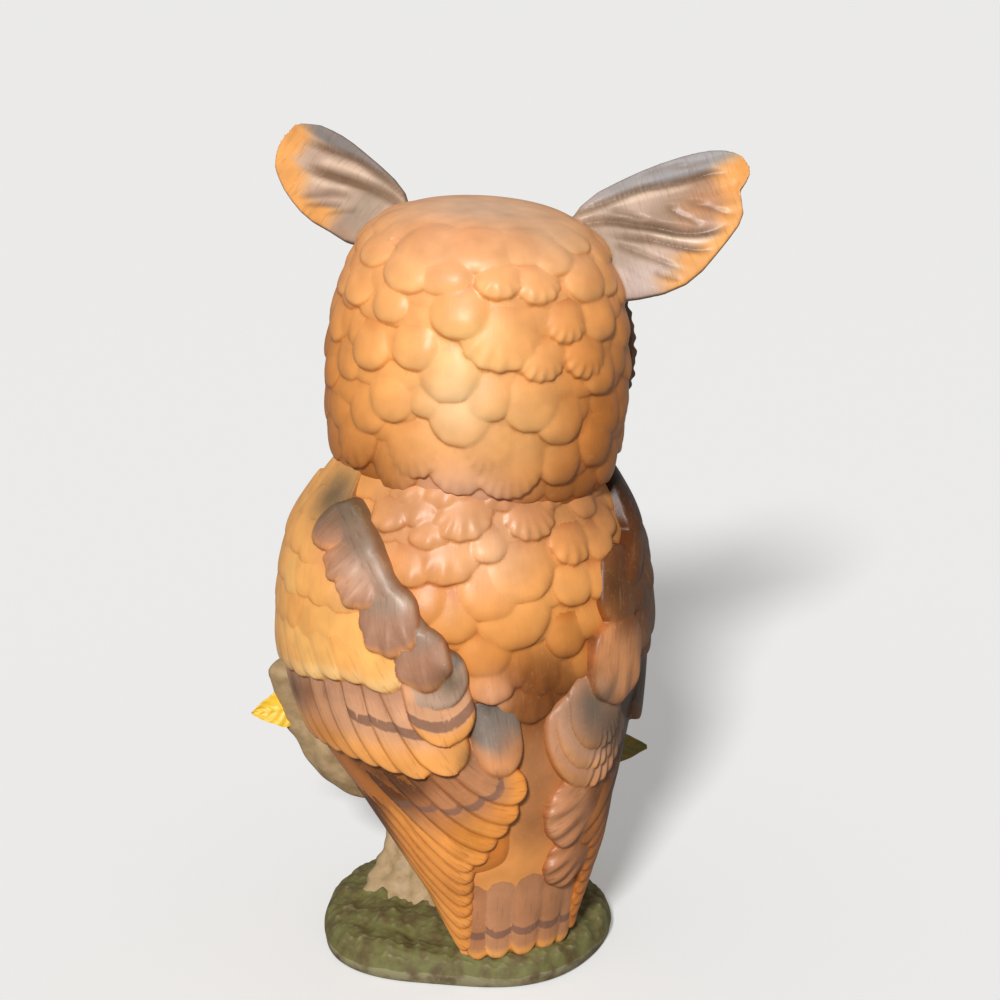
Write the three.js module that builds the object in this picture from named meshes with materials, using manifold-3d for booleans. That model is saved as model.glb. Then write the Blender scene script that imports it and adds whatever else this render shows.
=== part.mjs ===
// A porcelain figurine of a horned owl on a crooked limb, cast in one piece with its low base.
// Millimetres, +Z up. The body faces -Y, the head is turned to the owl's own right (-X), and
// the origin is the centre of the flat underside. Angles round the body and the head are in
// degrees from the middle of the back, positive towards the owl's own left (+X).
import * as THREE from "three";
import { mergeVertices } from "three/addons/utils/BufferGeometryUtils.js";
import Module from "manifold-3d";

const wasm = await Module();
wasm.setup();

const { clamp, degToRad, lerp } = THREE.MathUtils;
const vector = (x, y, z) => new THREE.Vector3(x, y, z);

// Driving dimensions
const HEAD = {
  centre: vector(-1.9, 0.5, 96),
  turn: 40,
  lean: 3,
  wide: 23.8,
  deep: 22,
  rise: 27,
  drop: 22,
  crownPower: 4,
  jowlPower: 7,
};
const EYE_RADIUS = 4.6;
const BASE_RADIUS = 24;
const BASE_HEIGHT = 7;

// Half-width, half-depth behind and in front, and the centre's y, at heights down the torso.
const TORSO = {
  z: [90, 86, 80, 73, 65, 56, 47, 38, 30, 22, 15, 5],
  wide: [14, 18, 21.8, 25.8, 27.8, 28.2, 27, 24, 20, 16, 12.5, 9.5],
  behind: [13, 18, 20.4, 23, 25, 25.6, 25, 23.2, 18.6, 12, 6.5, 3],
  before: [13, 17, 20, 23.6, 25, 26, 25, 21, 14, 9, 5, 3],
  y: [0, 0, 0, 0, 0, 0, 0.5, 3, 8, 14, 17.4, 18.6],
};
// The rows of feathers on a folded wing, from the shoulder to the tail. Each row's lower edge
// has an angle and a height at its inner end, middle and front end. The lifts are how far the
// row's feathers stand off the torso at that edge, and what is left just below it.
const WING_ROWS = [
  { angle: [62, 84, 102], z: [77.8, 79.2, 77], lift: 1.8, under: 1.6 },
  { angle: [50, 85, 117], z: [72.5, 71, 69.5], lift: 3, under: 2.3 },
  { angle: [36.5, 82, 126], z: [64, 61.5, 61], lift: 3.2, under: 2.6 },
  { angle: [25, 76, 128], z: [53.6, 52.8, 51], lift: 3.4, under: 2.4 },
  { angle: [18, 62, 118], z: [43, 38.6, 44], lift: 2.8, under: 1.8 },
  { angle: [4, 45, 108], z: [33.5, 27, 33], lift: 2, under: 1 },
  { angle: [6, 42, 92], z: [21, 16.5, 24], lift: 1.4, under: -1 },
];
const WING_FEATHERS = 7;

// Rows of feathers, by latitude on the head and by height on the torso, with the angles of
// their tips. Each row has its tips between those of the row above it.
const HEAD_ROWS = [
  { at: 58, tips: [-108, -88, -66, -44, -27, -8, 14, 34, 56, 82, 108] },
  { at: 43, tips: [-98, -78, -57, -37, -17, 4, 24, 45, 68, 92] },
  { at: 27, tips: [-108, -90, -72, -53, -30, -6, 14, 33, 54, 78, 104] },
  { at: 12, tips: [-99, -80, -59, -40, -21, 3, 22, 40, 63, 90] },
  { at: -3, tips: [-108, -88, -68, -49, -29, -7, 12, 31, 52, 76, 104] },
  { at: -16, tips: [-98, -78, -59, -39, -16, 3, 22, 42, 64, 90] },
  { at: -27, tips: [-108, -88, -68, -50, -23, 7, 28, 49, 70, 90, 108] },
  { at: -38, tips: [-98, -77, -57, -33, -4, 20, 41, 60, 80, 98] },
];
const MANTLE_ROWS = [
  { at: 76, tips: [-58, -40, -21, -2, 21, 40] },
  { at: 70.5, tips: [-68, -49, -34, -17, 12, 31, 52] },
  { at: 65, tips: [-58, -41, -26, 3, 20, 38] },
  { at: 59, tips: [-68, -48, -30, -13, 6, 27, 52] },
  { at: 53, tips: [-57, -39, -20, -3, 15, 38] },
  { at: 46, tips: [-68, -48, -31, -15, 1, 27, 52] },
];
const PROUD = 1.2;
const HEAD_NOTCH = 6;
const TORSO_NOTCH = 3;

// Solids

// A closed geometry whose vertices a rule places, from the side round it and the row down it.
function mapped(sides, rows, place) {
  const geometry = new THREE.SphereGeometry(1, sides, rows);
  const { position, uv } = geometry.attributes;
  for (let i = 0; i < position.count; i += 1) {
    const row = Math.round((1 - uv.getY(i)) * rows);
    const side = row === 0 || row === rows ? 0 : Math.round(uv.getX(i) * sides) % sides;
    const point = place(side, row);
    position.setXYZ(i, point.x, point.y, point.z);
  }
  return solid(geometry);
}

function solid(geometry) {
  geometry.deleteAttribute("normal");
  geometry.deleteAttribute("uv");
  const merged = mergeVertices(geometry, 1e-4);
  const triVerts = new Uint32Array(merged.index.array);
  const vertProperties = new Float32Array(merged.attributes.position.array);
  const make = () => new wasm.Manifold(new wasm.Mesh({ numProp: 3, vertProperties, triVerts }));
  const made = make();
  if (made.volume() > 0) return made;
  for (let i = 0; i < triVerts.length; i += 3) {
    [triVerts[i + 1], triVerts[i + 2]] = [triVerts[i + 2], triVerts[i + 1]];
  }
  return make();
}

// A round tapering solid along a smooth curve, with rounded ends.
function limb(points, radii, sides, rows) {
  const curve = new THREE.CatmullRomCurve3(points);
  const frames = curve.computeFrenetFrames(rows - 2, false);
  const radiusAt = (t) => {
    const k = t * (radii.length - 1);
    const i = Math.min(Math.floor(k), radii.length - 2);
    return lerp(radii[i], radii[i + 1], k - i);
  };
  return mapped(sides, rows, (side, row) => {
    if (row === 0 || row === rows) {
      const end = row === 0 ? 0 : 1;
      const reach = radiusAt(end) * (end ? 0.5 : -0.5);
      return curve.getPointAt(end).addScaledVector(curve.getTangentAt(end), reach);
    }
    const i = row - 1;
    const t = i / (rows - 2);
    const turn = (2 * Math.PI * side) / sides;
    return curve
      .getPointAt(t)
      .addScaledVector(frames.normals[i], radiusAt(t) * Math.cos(turn))
      .addScaledVector(frames.binormals[i], radiusAt(t) * Math.sin(turn));
  });
}

// Surfaces

// The value of one column of a table at a height, on a smooth curve through its rows.
function column(table, name, height) {
  const xs = table.z;
  const ys = table[name];
  const last = xs.length - 1;
  let i = 0;
  while (i < last - 1 && height < xs[i + 1]) i += 1;
  const span = xs[i + 1] - xs[i];
  const t = clamp((height - xs[i]) / span, 0, 1);
  const slope = (k) =>
    k <= 0 || k >= last ? 0 : ((ys[k + 1] - ys[k - 1]) / (xs[k + 1] - xs[k - 1])) * span;
  const t2 = t * t;
  const t3 = t2 * t;
  return (
    (2 * t3 - 3 * t2 + 1) * ys[i] +
    (t3 - 2 * t2 + t) * slope(i) +
    (3 * t2 - 2 * t3) * ys[i + 1] +
    (t3 - t2) * slope(i + 1)
  );
}

// How far the head's surface is from its centre, in a direction.
function headReach(direction) {
  const upper = direction.z > 0;
  const flat = Math.hypot(direction.x / HEAD.wide, direction.y / HEAD.deep);
  const tall = Math.abs(direction.z) / (upper ? HEAD.rise : HEAD.drop);
  const power = upper ? HEAD.crownPower : HEAD.jowlPower;
  let low = 0;
  let high = 60;
  for (let i = 0; i < 40; i += 1) {
    const reach = (low + high) / 2;
    if ((reach * flat) ** power + (reach * tall) ** 2 < 1) low = reach;
    else high = reach;
  }
  return low;
}

function headDirection(angle, latitude) {
  const a = degToRad(angle);
  const b = degToRad(latitude);
  return vector(Math.sin(a) * Math.cos(b), Math.cos(a) * Math.cos(b), Math.sin(b));
}

function fromHead(point) {
  return point
    .applyAxisAngle(vector(0, 1, 0), -degToRad(HEAD.lean))
    .applyAxisAngle(vector(0, 0, 1), -degToRad(HEAD.turn))
    .add(HEAD.centre);
}

// A patch of the head round one spot: millimetres across and down give a place, lifted off it.
function onHead(angle, latitude) {
  const spot = (b) => {
    const direction = headDirection(angle, b);
    return direction.multiplyScalar(headReach(direction));
  };
  const middle = spot(latitude);
  const east = vector(Math.cos(degToRad(angle)), -Math.sin(degToRad(angle)), 0);
  const south = spot(latitude - 1).sub(spot(latitude + 1)).normalize();
  return (across, down, lift) => {
    const direction = middle.clone().addScaledVector(east, across).addScaledVector(south, down);
    direction.normalize();
    return fromHead(direction.multiplyScalar(headReach(direction) + lift));
  };
}

function torsoPoint(angle, z, lift) {
  const a = degToRad(angle);
  const deep = column(TORSO, Math.cos(a) > 0 ? "behind" : "before", z);
  return vector(
    (column(TORSO, "wide", z) + lift) * Math.sin(a),
    column(TORSO, "y", z) + (deep + lift) * Math.cos(a),
    z,
  );
}

// The same patch on the torso.
function onTorso(angle, z) {
  const here = torsoPoint(angle, z, 0);
  const degree = torsoPoint(angle + 1, z, 0).distanceTo(here);
  const slant = torsoPoint(angle, z - 1, 0).distanceTo(here);
  return (across, down, lift) => {
    return torsoPoint(angle + across / degree, z - down / slant, lift);
  };
}

// Feathers

// The columns of one row across a sector of feathers, four to a feather: each has an angle and
// how far down the rounded edge it is, from 0 in the notch between two feathers to 1 at a tip.
function featherColumns({ from, to, count, tips }) {
  const staggered = tips.length > count;
  const notches = tips.slice(1).map((tip, i) => (tip + tips[i]) / 2);
  if (!staggered) notches.unshift(from);
  if (!staggered) notches.push(to);
  const first = staggered ? tips : notches;
  const second = staggered ? notches : tips;
  const keys = first.flatMap((angle, i) => (i < second.length ? [angle, second[i]] : [angle]));
  const columns = [];
  for (let k = 0; k < keys.length - 1; k += 1) {
    const atTip = (k % 2 === 0) === staggered;
    columns.push({ angle: keys[k], share: atTip ? 1 : 0 });
    columns.push({ angle: (keys[k] + keys[k + 1]) / 2, share: 0.87 });
  }
  return columns;
}

// Columns with no feathers, from one angle to the next sector's first.
function plainColumns(from, to, count) {
  const columns = [];
  for (let k = 0; k < count; k += 1) {
    columns.push({ angle: lerp(from, to, k / count), share: 0.5 });
  }
  return columns;
}

// A body covered by overlapping rows of feathers: each row rises to a scalloped edge and steps
// down under it to the root of the next one. Plain lines follow below the last row.
function shingled({ rows, notch, place, top, bottom, plain }) {
  const edges = rows.map(({ at, columns }) =>
    columns.map(({ angle, share }) => ({ angle, share, at: at + notch * (1 - share) })),
  );
  const covered = 3 * rows.length;
  const lines = covered + plain.length + 1;
  return mapped(edges[0].length, lines, (side, line) => {
    if (line === 0) return top;
    if (line === lines) return bottom;
    if (line > covered) return place(edges.at(-1)[side].angle, plain[line - covered - 1], 0);
    const row = Math.floor((line - 1) / 3);
    const { angle, share, at } = edges[row][side];
    const step = (line - 1) % 3;
    if (step === 1) return place(angle, at, PROUD * (0.55 + 0.45 * share));
    if (step === 2) return place(angle, at - 0.1 * notch, -0.1);
    const above = row > 0 ? edges[row - 1][side] : { angle, at: 2 * at - edges[1][side].at };
    const middle = lerp(above.at, at, 0.45);
    return place(lerp(above.angle, angle, 0.45), middle, PROUD * (0.3 + 0.4 * share));
  });
}

// A long feather from a root to a tip, both given as an angle and a height on the torso. Its
// lifts are at the root and at the tip.
function vane({ root, tip, wide, lifts, side = 1 }) {
  const shape = [0, 0.75, 1, 0.8, 0].map((w) => (w * wide) / 2);
  const shares = [0, 0.12, 0.6, 0.9, 1];
  const patches = shares.map((share) =>
    onTorso(side * lerp(root[0], tip[0], share), lerp(root[1], tip[1], share)),
  );
  return mapped(6, 4, (k, row) => {
    const end = row === 0 || row === 4;
    const across = end ? 0 : [-1, 0, 1, 1, 0, -1][k];
    const rise = lerp(lifts[0], lifts[1], shares[row]) + (across === 0 ? 0.5 : 0);
    return patches[row](across * shape[row], 0, end || k < 3 ? rise : -1.2);
  });
}

// The value at a share between the first and last of three, on the curve through them.
function through([first, middle, last], t) {
  return (1 - t) * (1 - 2 * t) * first + 4 * t * (1 - t) * middle + t * (2 * t - 1) * last;
}

// A folded wing: rows of overlapping feathers, each tucked under its inner neighbour, so that
// its outer edge stands proud. Its underside is sunk in the body.
function wing(side) {
  const sunk = -1.5;
  const perFeather = 3;
  const over = WING_FEATHERS * perFeather;
  const sides = over + 4;
  const rows = WING_ROWS.length;
  const lines = 2 * rows;
  const round = 1.6;
  const put = (row, t, drop, lift) => {
    const { angle, z } = WING_ROWS[row];
    return torsoPoint(side * through(angle, t), through(z, t) - drop, lift);
  };
  return mapped(sides, lines, (k, line) => {
    if (line === 0) return put(0, 0.5, 0, sunk);
    if (line === lines) return put(rows - 1, 0.5, 0, sunk);
    const onTop = k > 0 && k <= over;
    const feather = Math.floor((k - 1) / perFeather);
    const part = [0.06, 0.5, 1][(k - 1) % perFeather];
    const shares = [0, 1, 2 / 3, 1 / 3];
    const t = onTop ? (feather + part) / WING_FEATHERS : shares[k === 0 ? 0 : k - over];
    const roll = onTop ? [-0.45, 0.15, 0.3][(k - 1) % perFeather] : 0;
    const bulge = onTop ? round * [0.3, 1, 0.1][(k - 1) % perFeather] : 0;
    const row = Math.floor(line / 2);
    const atEdge = line % 2 === 0;
    const { lift, under } = WING_ROWS[row];
    const drop = atEdge ? bulge : bulge + 0.25;
    return put(row, t, drop, onTop ? (atEdge ? lift : under) + roll : sunk);
  });
}

function tailFeathers() {
  return [-14, 14, 0].map((angle) =>
    vane({ root: [angle * 0.6, 27], tip: [angle, 4.4], wide: 6.8, lifts: [0.4, 1] }),
  );
}

// The broad covert beside the middle of the back.
function innerCovert(side) {
  return vane({ root: [15, 51], tip: [11.5, 37.5], wide: 9, lifts: [0.6, 2.4], side });
}

// Body

function torso() {
  const high = TORSO.z[0];
  const low = TORSO.z.at(-1);
  const breast = { from: 130, to: 230, count: 4 };
  const rows = MANTLE_ROWS.map(({ at, tips }, row) => {
    const staggered = row % 2;
    const step = (breast.to - breast.from) / breast.count;
    const fronts = Array.from(
      { length: breast.count + staggered },
      (_, k) => breast.from + step * (k + (staggered ? 0 : 0.5)),
    );
    const mantle = featherColumns({ from: -68, to: 68, count: 6, tips });
    return {
      at,
      columns: [
        ...mantle,
        ...plainColumns(68, breast.from, 3),
        ...featherColumns({ ...breast, tips: fronts }),
        ...plainColumns(breast.to, 292, 3),
      ],
    };
  });
  return shingled({
    rows,
    notch: TORSO_NOTCH,
    place: torsoPoint,
    top: vector(0, 0, high),
    bottom: vector(0, column(TORSO, "y", low), low),
    plain: [36, 24, 12],
  });
}

function head() {
  const place = (angle, latitude, lift) => {
    const direction = headDirection(angle, latitude);
    return fromHead(direction.multiplyScalar(headReach(direction) + lift));
  };
  const rows = HEAD_ROWS.map(({ at, tips }) => ({
    at,
    columns: [
      ...featherColumns({ from: -108, to: 108, count: 10, tips }),
      ...plainColumns(108, 252, 6),
    ],
  }));
  return shingled({
    rows,
    notch: HEAD_NOTCH,
    place,
    top: place(0, 90, 0),
    bottom: place(0, -90, 0),
    plain: [-58],
  });
}

// An ear tuft: a ribbed, lobed plate that springs from the side of the crown. Its half-widths
// above and below its middle line are shares of the width at its root.
const TUFTS = {
  left: {
    root: vector(19.4, -7.5, 20),
    reach: vector(20.6, -13.7, 11.2),
    z: [0, -0.15, -0.35, -0.55, -0.75, -0.9, -1],
    upper: [0.5, 0.5, 0.49, 0.48, 0.44, 0.36, 0.1],
    lower: [0.25, 0.28, 0.36, 0.45, 0.45, 0.33, 0.05],
  },
  right: {
    root: vector(-16.6, -7.5, 20),
    reach: vector(-20.6, -13.7, 13.2),
    z: [0, -0.15, -0.35, -0.55, -0.75, -0.9, -1],
    upper: [0.5, 0.5, 0.49, 0.48, 0.44, 0.36, 0.1],
    lower: [0.5, 0.62, 0.69, 0.67, 0.54, 0.34, 0.05],
  },
};

function tuft(side) {
  const sides = 16;
  const rows = 7;
  const shape = side > 0 ? TUFTS.left : TUFTS.right;
  const widthwise = vector(7.7 * side, 6, -12);
  const normal = shape.reach.clone().cross(widthwise).multiplyScalar(side).normalize();
  return mapped(sides, rows, (k, row) => {
    const share = lerp(-0.15, 1, row / rows);
    const end = row === 0 || row === rows;
    const turn = (2 * Math.PI * k) / sides;
    const across = end ? 0 : Math.cos(turn);
    const half = column(shape, across > 0 ? "lower" : "upper", -share);
    const rise = end ? 0 : Math.sin(turn);
    const rib = Math.abs(rise) > 0.2 && k % 2 ? 0.45 : 0;
    const thick = lerp(2.2, 1.1, clamp(share, 0, 1)) * rise + Math.sign(rise) * rib;
    return fromHead(
      shape.root
        .clone()
        .addScaledVector(shape.reach, share)
        .addScaledVector(widthwise, across * half)
        .addScaledVector(normal, thick),
    );
  });
}

// Face: two dished discs with raised rims, round eyes and a hooked beak.

const DISC = { angle: 144, latitude: 8, wide: 14.4, tall: 13.5 };

function disc(side) {
  const sides = 16;
  const rows = 5;
  const patch = onHead(side * DISC.angle, DISC.latitude);
  const reach = [0, 0.5, 0.84, 1, 0.98];
  const level = [0.2, 0.3, 2, 1, -2];
  return mapped(sides, rows, (k, row) => {
    if (row === rows) return patch(0, 0, -2);
    const turn = (2 * Math.PI * k) / sides;
    const across = DISC.wide * reach[row] * Math.cos(turn);
    return patch(across, DISC.tall * reach[row] * Math.sin(turn), level[row]);
  });
}

function eye(side) {
  const middle = onHead(side * 156, 12)(0, 0, -1.6);
  const geometry = new THREE.SphereGeometry(EYE_RADIUS, 10, 6);
  return solid(geometry.translate(middle.x, middle.y, middle.z));
}

function beak() {
  const spot = (latitude, lift) => onHead(180, latitude)(0, 0, lift);
  const path = [spot(18, 0), spot(8, 2.2), spot(0, 3.2), spot(-8, 1.6)];
  return limb(path, [3, 2.9, 2.4, 0.8], 7, 6);
}

function brow(side) {
  const spot = (angle, latitude, lift) => onHead(side * angle, latitude)(0, 0, lift);
  const path = [spot(178, 16, 1), spot(160, 32, 2), spot(135, 46, 1.6), spot(118, 52, 0.4)];
  return limb(path, [1.6, 2.6, 2.8, 1.6], 6, 6);
}

// Legs and feet

function leg(side) {
  const hip = vector(7 * side, -10, 36);
  const ankle = vector(7 * side, -15.5, 27);
  return limb([hip, ankle], [8, 4.5], 8, 4);
}

function toes(side) {
  return [-1, 0, 1].map((k) => {
    const x = 7 * side + 3.4 * k;
    const path = [
      vector(x - 0.8 * k, -16, 27.6),
      vector(x, -20, 27),
      vector(x + 0.3 * k, -22.2, 23.6),
      vector(x + 0.3 * k, -21.6, 20.4),
    ];
    return limb(path, [1.9, 1.9, 1.5, 0.7], 5, 5);
  });
}

// The limb, its stub, the leaves and the base

const LIMB = {
  path: [
    vector(-23, -13, 20),
    vector(-10, -15.5, 22),
    vector(5, -16.5, 22),
    vector(14, -17.5, 25),
    vector(19.3, -19.5, 31),
    vector(22.3, -20.3, 37),
    vector(24.5, -20, 44.5),
  ],
  radii: [3.6, 4.6, 5, 4.4, 3.4, 2.8, 2.5],
};

function perch() {
  return limb(LIMB.path, LIMB.radii, 8, 11);
}

function trunk() {
  const sides = 12;
  const rows = 6;
  const radii = [0, 15, 11, 9, 8.6, 8.6, 0];
  return mapped(sides, rows, (k, row) => {
    const turn = (2 * Math.PI * k) / sides;
    const share = row / rows;
    const radius = radii[row] * (1 + 0.09 * Math.cos(5 * turn + 2 * share));
    return vector(radius * Math.cos(turn), -6 - 6 * share + radius * Math.sin(turn), 2 + 22 * share);
  });
}

// A leaf from its stalk to its point, with its face turned towards a direction.
function leaf({ stalk, point, wide, face }) {
  const along = point.clone().sub(stalk);
  const across = along.clone().cross(face).normalize();
  const normal = across.clone().cross(along).normalize();
  const half = [0, 0.7, 1, 0.75, 0.35, 0];
  const corners = [-1, 0, 1, 0];
  return mapped(4, 5, (k, row) => {
    const share = row / 5;
    const fold = k === 1 ? 0.5 : 0;
    return stalk
      .clone()
      .addScaledVector(along, share)
      .addScaledVector(across, (corners[k] * half[row] * wide) / 2)
      .addScaledVector(normal, half[row] * ([0, 0.9, 0, -0.9][k] + fold) + 1.2 * Math.sin(3 * share));
  });
}

const LEAVES = [
  { stalk: vector(19, -20.5, 36), point: vector(29.5, -21.7, 35.2), wide: 6, face: vector(0, 1, 0.3) },
  { stalk: vector(16, -20, 30), point: vector(11, -27, 21), wide: 7, face: vector(1, -1, 0) },
  { stalk: vector(-21, -13, 22), point: vector(-37, -6, 23), wide: 8, face: vector(0, 1, 1) },
  { stalk: vector(-19, -15, 21), point: vector(-26, -20, 12), wide: 7, face: vector(-1, -1, 0) },
];

function base() {
  const sides = 22;
  const rows = 5;
  const rim = [0, 0.45, 0.86, 1, 0.97];
  const level = [BASE_HEIGHT, BASE_HEIGHT * 0.95, BASE_HEIGHT * 0.75, BASE_HEIGHT * 0.35, 0];
  return mapped(sides, rows, (side, row) => {
    if (row === rows) return vector(0, 0, 0);
    const turn = (2 * Math.PI * side) / sides;
    const radius = rim[row] * (BASE_RADIUS + 0.9 * Math.cos(3 * turn) + 0.6 * Math.sin(5 * turn));
    return vector(radius * Math.cos(turn), radius * Math.sin(turn), level[row]);
  });
}

const pieces = [torso(), head(), ...tailFeathers()];
for (const side of [1, -1]) {
  pieces.push(wing(side), innerCovert(side), tuft(side));
}
for (const side of [1, -1]) {
  pieces.push(disc(side), eye(side), brow(side), leg(side), ...toes(side));
}
pieces.push(beak(), perch(), trunk(), ...LEAVES.map(leaf), base());
const figurine = pieces.reduce((whole, piece) => whole.add(piece));

const mesh = figurine.getMesh();
const geometry = new THREE.BufferGeometry();
geometry.setAttribute("position", new THREE.BufferAttribute(mesh.vertProperties, 3));
geometry.setIndex(new THREE.BufferAttribute(mesh.triVerts, 1));
const bisque = new THREE.MeshStandardMaterial({ color: 0xd88f4c, roughness: 0.55, metalness: 0 });
const owl = new THREE.Mesh(geometry, bisque);
owl.name = "owl_figurine";

const group = new THREE.Group();
group.add(owl);
export default group;
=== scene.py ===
import math

import bpy
import numpy as np
from mathutils import Matrix, Vector
from mathutils.bvhtree import BVHTree


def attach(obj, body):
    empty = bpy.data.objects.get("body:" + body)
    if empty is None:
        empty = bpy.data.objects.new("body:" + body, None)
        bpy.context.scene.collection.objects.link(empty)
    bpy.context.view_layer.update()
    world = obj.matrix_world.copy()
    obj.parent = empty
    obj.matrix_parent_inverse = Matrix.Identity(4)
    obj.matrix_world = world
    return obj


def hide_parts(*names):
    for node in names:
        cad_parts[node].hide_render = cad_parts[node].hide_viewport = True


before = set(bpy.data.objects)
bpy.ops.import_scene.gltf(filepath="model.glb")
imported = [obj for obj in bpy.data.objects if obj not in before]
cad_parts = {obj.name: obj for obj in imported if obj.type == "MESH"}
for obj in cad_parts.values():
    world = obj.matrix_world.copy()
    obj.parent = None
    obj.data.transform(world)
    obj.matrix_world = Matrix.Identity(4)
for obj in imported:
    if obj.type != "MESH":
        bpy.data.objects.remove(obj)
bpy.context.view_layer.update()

MM = 0.001
SEED = 7
LEFT, RIGHT = 1, -1

# Forms, from the same named sizes as the part
HEAD_CENTRE = np.array([-1.9, 0.5, 96.0])
HEAD_TURN, HEAD_LEAN = 40.0, 3.0
HEAD_WIDE, HEAD_DEEP, HEAD_RISE, HEAD_DROP = 23.8, 22.0, 27.0, 22.0
CROWN_POWER, JOWL_POWER = 4.0, 7.0
WIDEST_REACH, REACH_ROUNDS = 60.0, 30
EYE_RADIUS = 4.6
BASE_RADIUS, BASE_HEIGHT = 24.0, 7.0
TORSO = {
    "z": [90, 86, 80, 73, 65, 56, 47, 38, 30, 22, 15, 5],
    "wide": [14, 18, 21.8, 25.8, 27.8, 28.2, 27, 24, 20, 16, 12.5, 9.5],
    "behind": [13, 18, 20.4, 23, 25, 25.6, 25, 23.2, 18.6, 12, 6.5, 3],
    "before": [13, 17, 20, 23.6, 25, 26, 25, 21, 14, 9, 5, 3],
    "y": [0, 0, 0, 0, 0, 0, 0.5, 3, 8, 14, 17.4, 18.6],
}
# A wing's lower row edges: inner end, middle and front end, with the lift under the feathers
WING = [
    ((62, 84, 102), (77.8, 79.2, 77), 0.8), ((50, 85, 117), (72.5, 71, 69.5), 1.8),
    ((36.5, 82, 126), (64, 61.5, 61), 2.2), ((25, 76, 128), (53.6, 52.8, 51), 2.0),
    ((18, 62, 118), (43, 38.6, 44), 1.4), ((5, 45, 108), (33.5, 27, 33), 0.8),
    ((7, 42, 92), (22, 18, 25), 0.2),
]


def stacked(*values):
    return np.stack(np.broadcast_arrays(*values), -1)


def unit(vectors):
    return vectors / np.linalg.norm(vectors, axis=-1, keepdims=True)


def circle(count):
    """Angles round a whole turn, as one row."""
    return np.linspace(0, 2 * math.pi, count, endpoint=False)[None, :]


def crowded(count):
    """Steps from -1 to 1 as one row, closer together towards both ends."""
    return np.sin(np.linspace(-1, 1, count) * math.pi / 2)[None, :]


def smooth(low, high, x):
    t = np.clip((np.asarray(x, float) - low) / (high - low), 0, 1)
    return t * t * (3 - 2 * t)


def curve(start, end, start_slope, end_slope, t):
    t2, t3 = t * t, t * t * t
    return (
        (2 * t3 - 3 * t2 + 1) * start + (t3 - 2 * t2 + t) * start_slope
        + (3 * t2 - 2 * t3) * end + (t3 - t2) * end_slope
    )


def spline(ys, x):
    """A smooth curve through some values at even steps, for x from 0 to 1."""
    ys = np.asarray(ys, float)
    last = len(ys) - 1
    slope = np.gradient(ys, axis=0)
    k = np.clip(np.asarray(x) * last, 0, last - 1e-9)
    i = k.astype(int)
    return curve(ys[i], ys[i + 1], slope[i], slope[i + 1], (k - i).reshape(-1, *[1] * (ys.ndim - 1)))


def column(name, z):
    """A torso table's column at heights, on a smooth curve through its rows."""
    xs, ys = np.array(TORSO["z"], float), np.array(TORSO[name], float)
    slope = np.zeros(len(xs))
    slope[1:-1] = (ys[2:] - ys[:-2]) / (xs[2:] - xs[:-2])
    i = np.clip(np.searchsorted(-xs, -z, side="right") - 1, 0, len(xs) - 2)
    span = xs[i + 1] - xs[i]
    return curve(ys[i], ys[i + 1], span * slope[i], span * slope[i + 1], np.clip((z - xs[i]) / span, 0, 1))


def torso(angle, z, lift=0):
    a = np.radians(angle)
    z = np.asarray(z, float)
    deep = np.where(np.cos(a) > 0, column("behind", z), column("before", z))
    return stacked((column("wide", z) + lift) * np.sin(a), column("y", z) + (deep + lift) * np.cos(a), z)


def head_reach(way):
    """How far the head's surface is from its centre, in each direction."""
    upper = way[..., 2] > 0
    flat = np.hypot(way[..., 0] / HEAD_WIDE, way[..., 1] / HEAD_DEEP)
    tall = np.abs(way[..., 2]) / np.where(upper, HEAD_RISE, HEAD_DROP)
    power = np.where(upper, CROWN_POWER, JOWL_POWER)
    low, high = np.zeros(flat.shape), np.full(flat.shape, WIDEST_REACH)
    for _ in range(REACH_ROUNDS):
        middle = (low + high) / 2
        inside = (middle * flat) ** power + (middle * tall) ** 2 < 1
        low, high = np.where(inside, middle, low), np.where(inside, high, middle)
    return low


def from_head(points):
    """Points of the head's own frame, leant and turned with it and moved to its centre."""
    lean, turn = math.radians(-HEAD_LEAN), math.radians(-HEAD_TURN)
    x, y, z = np.moveaxis(points, -1, 0)
    x, z = math.sin(lean) * z + math.cos(lean) * x, math.cos(lean) * z - math.sin(lean) * x
    x, y = math.cos(turn) * x - math.sin(turn) * y, math.sin(turn) * x + math.cos(turn) * y
    return stacked(x, y, z) + HEAD_CENTRE


def head_way(angle, latitude):
    a, b = np.radians(angle), np.radians(latitude)
    return stacked(np.sin(a) * np.cos(b), np.cos(a) * np.cos(b), np.sin(b))


def on_head(way, lift):
    return from_head(way * (head_reach(way) + lift)[..., None])


def head(angle, latitude, lift=0):
    return on_head(head_way(angle, latitude), lift)


def face_patch(angle, latitude):
    """A flat-ruled patch of the head round one spot: millimetres across and down, and a lift."""
    middle, above, below = (
        way * head_reach(way) for way in (head_way(angle, latitude + step) for step in (0, 1, -1))
    )
    east = np.array([math.cos(math.radians(angle)), -math.sin(math.radians(angle)), 0])
    south = unit(below - above)

    def place(across, down, lift):
        way = middle + np.asarray(across)[..., None] * east + np.asarray(down)[..., None] * south
        return on_head(unit(way), lift)

    return place


# Clay: closed shapes, and what each one is painted as

RIPPLE_WAVES = 7
NO_RIM_NEAR = 9.0
PATH_STEPS = 40
# The turn that a fan's ribs fill, in radians, and a feather's least thickness and highest underside
FAN_TURN = 1.9
LEAST_THICK, SUNK = 0.5, -1.2


def ripple(points, size, seed):
    """Smooth noise from about -1 to 1, from a few waves of one size."""
    rng = np.random.default_rng(seed)
    total = np.zeros(points.shape[:-1])
    for _ in range(RIPPLE_WAVES):
        way = rng.normal(size=3)
        way *= 2 * math.pi / (np.linalg.norm(way) * size * rng.uniform(0.7, 1.4))
        total += np.sin(points @ way + rng.uniform(0, 2 * math.pi))
    return total / 3


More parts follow.
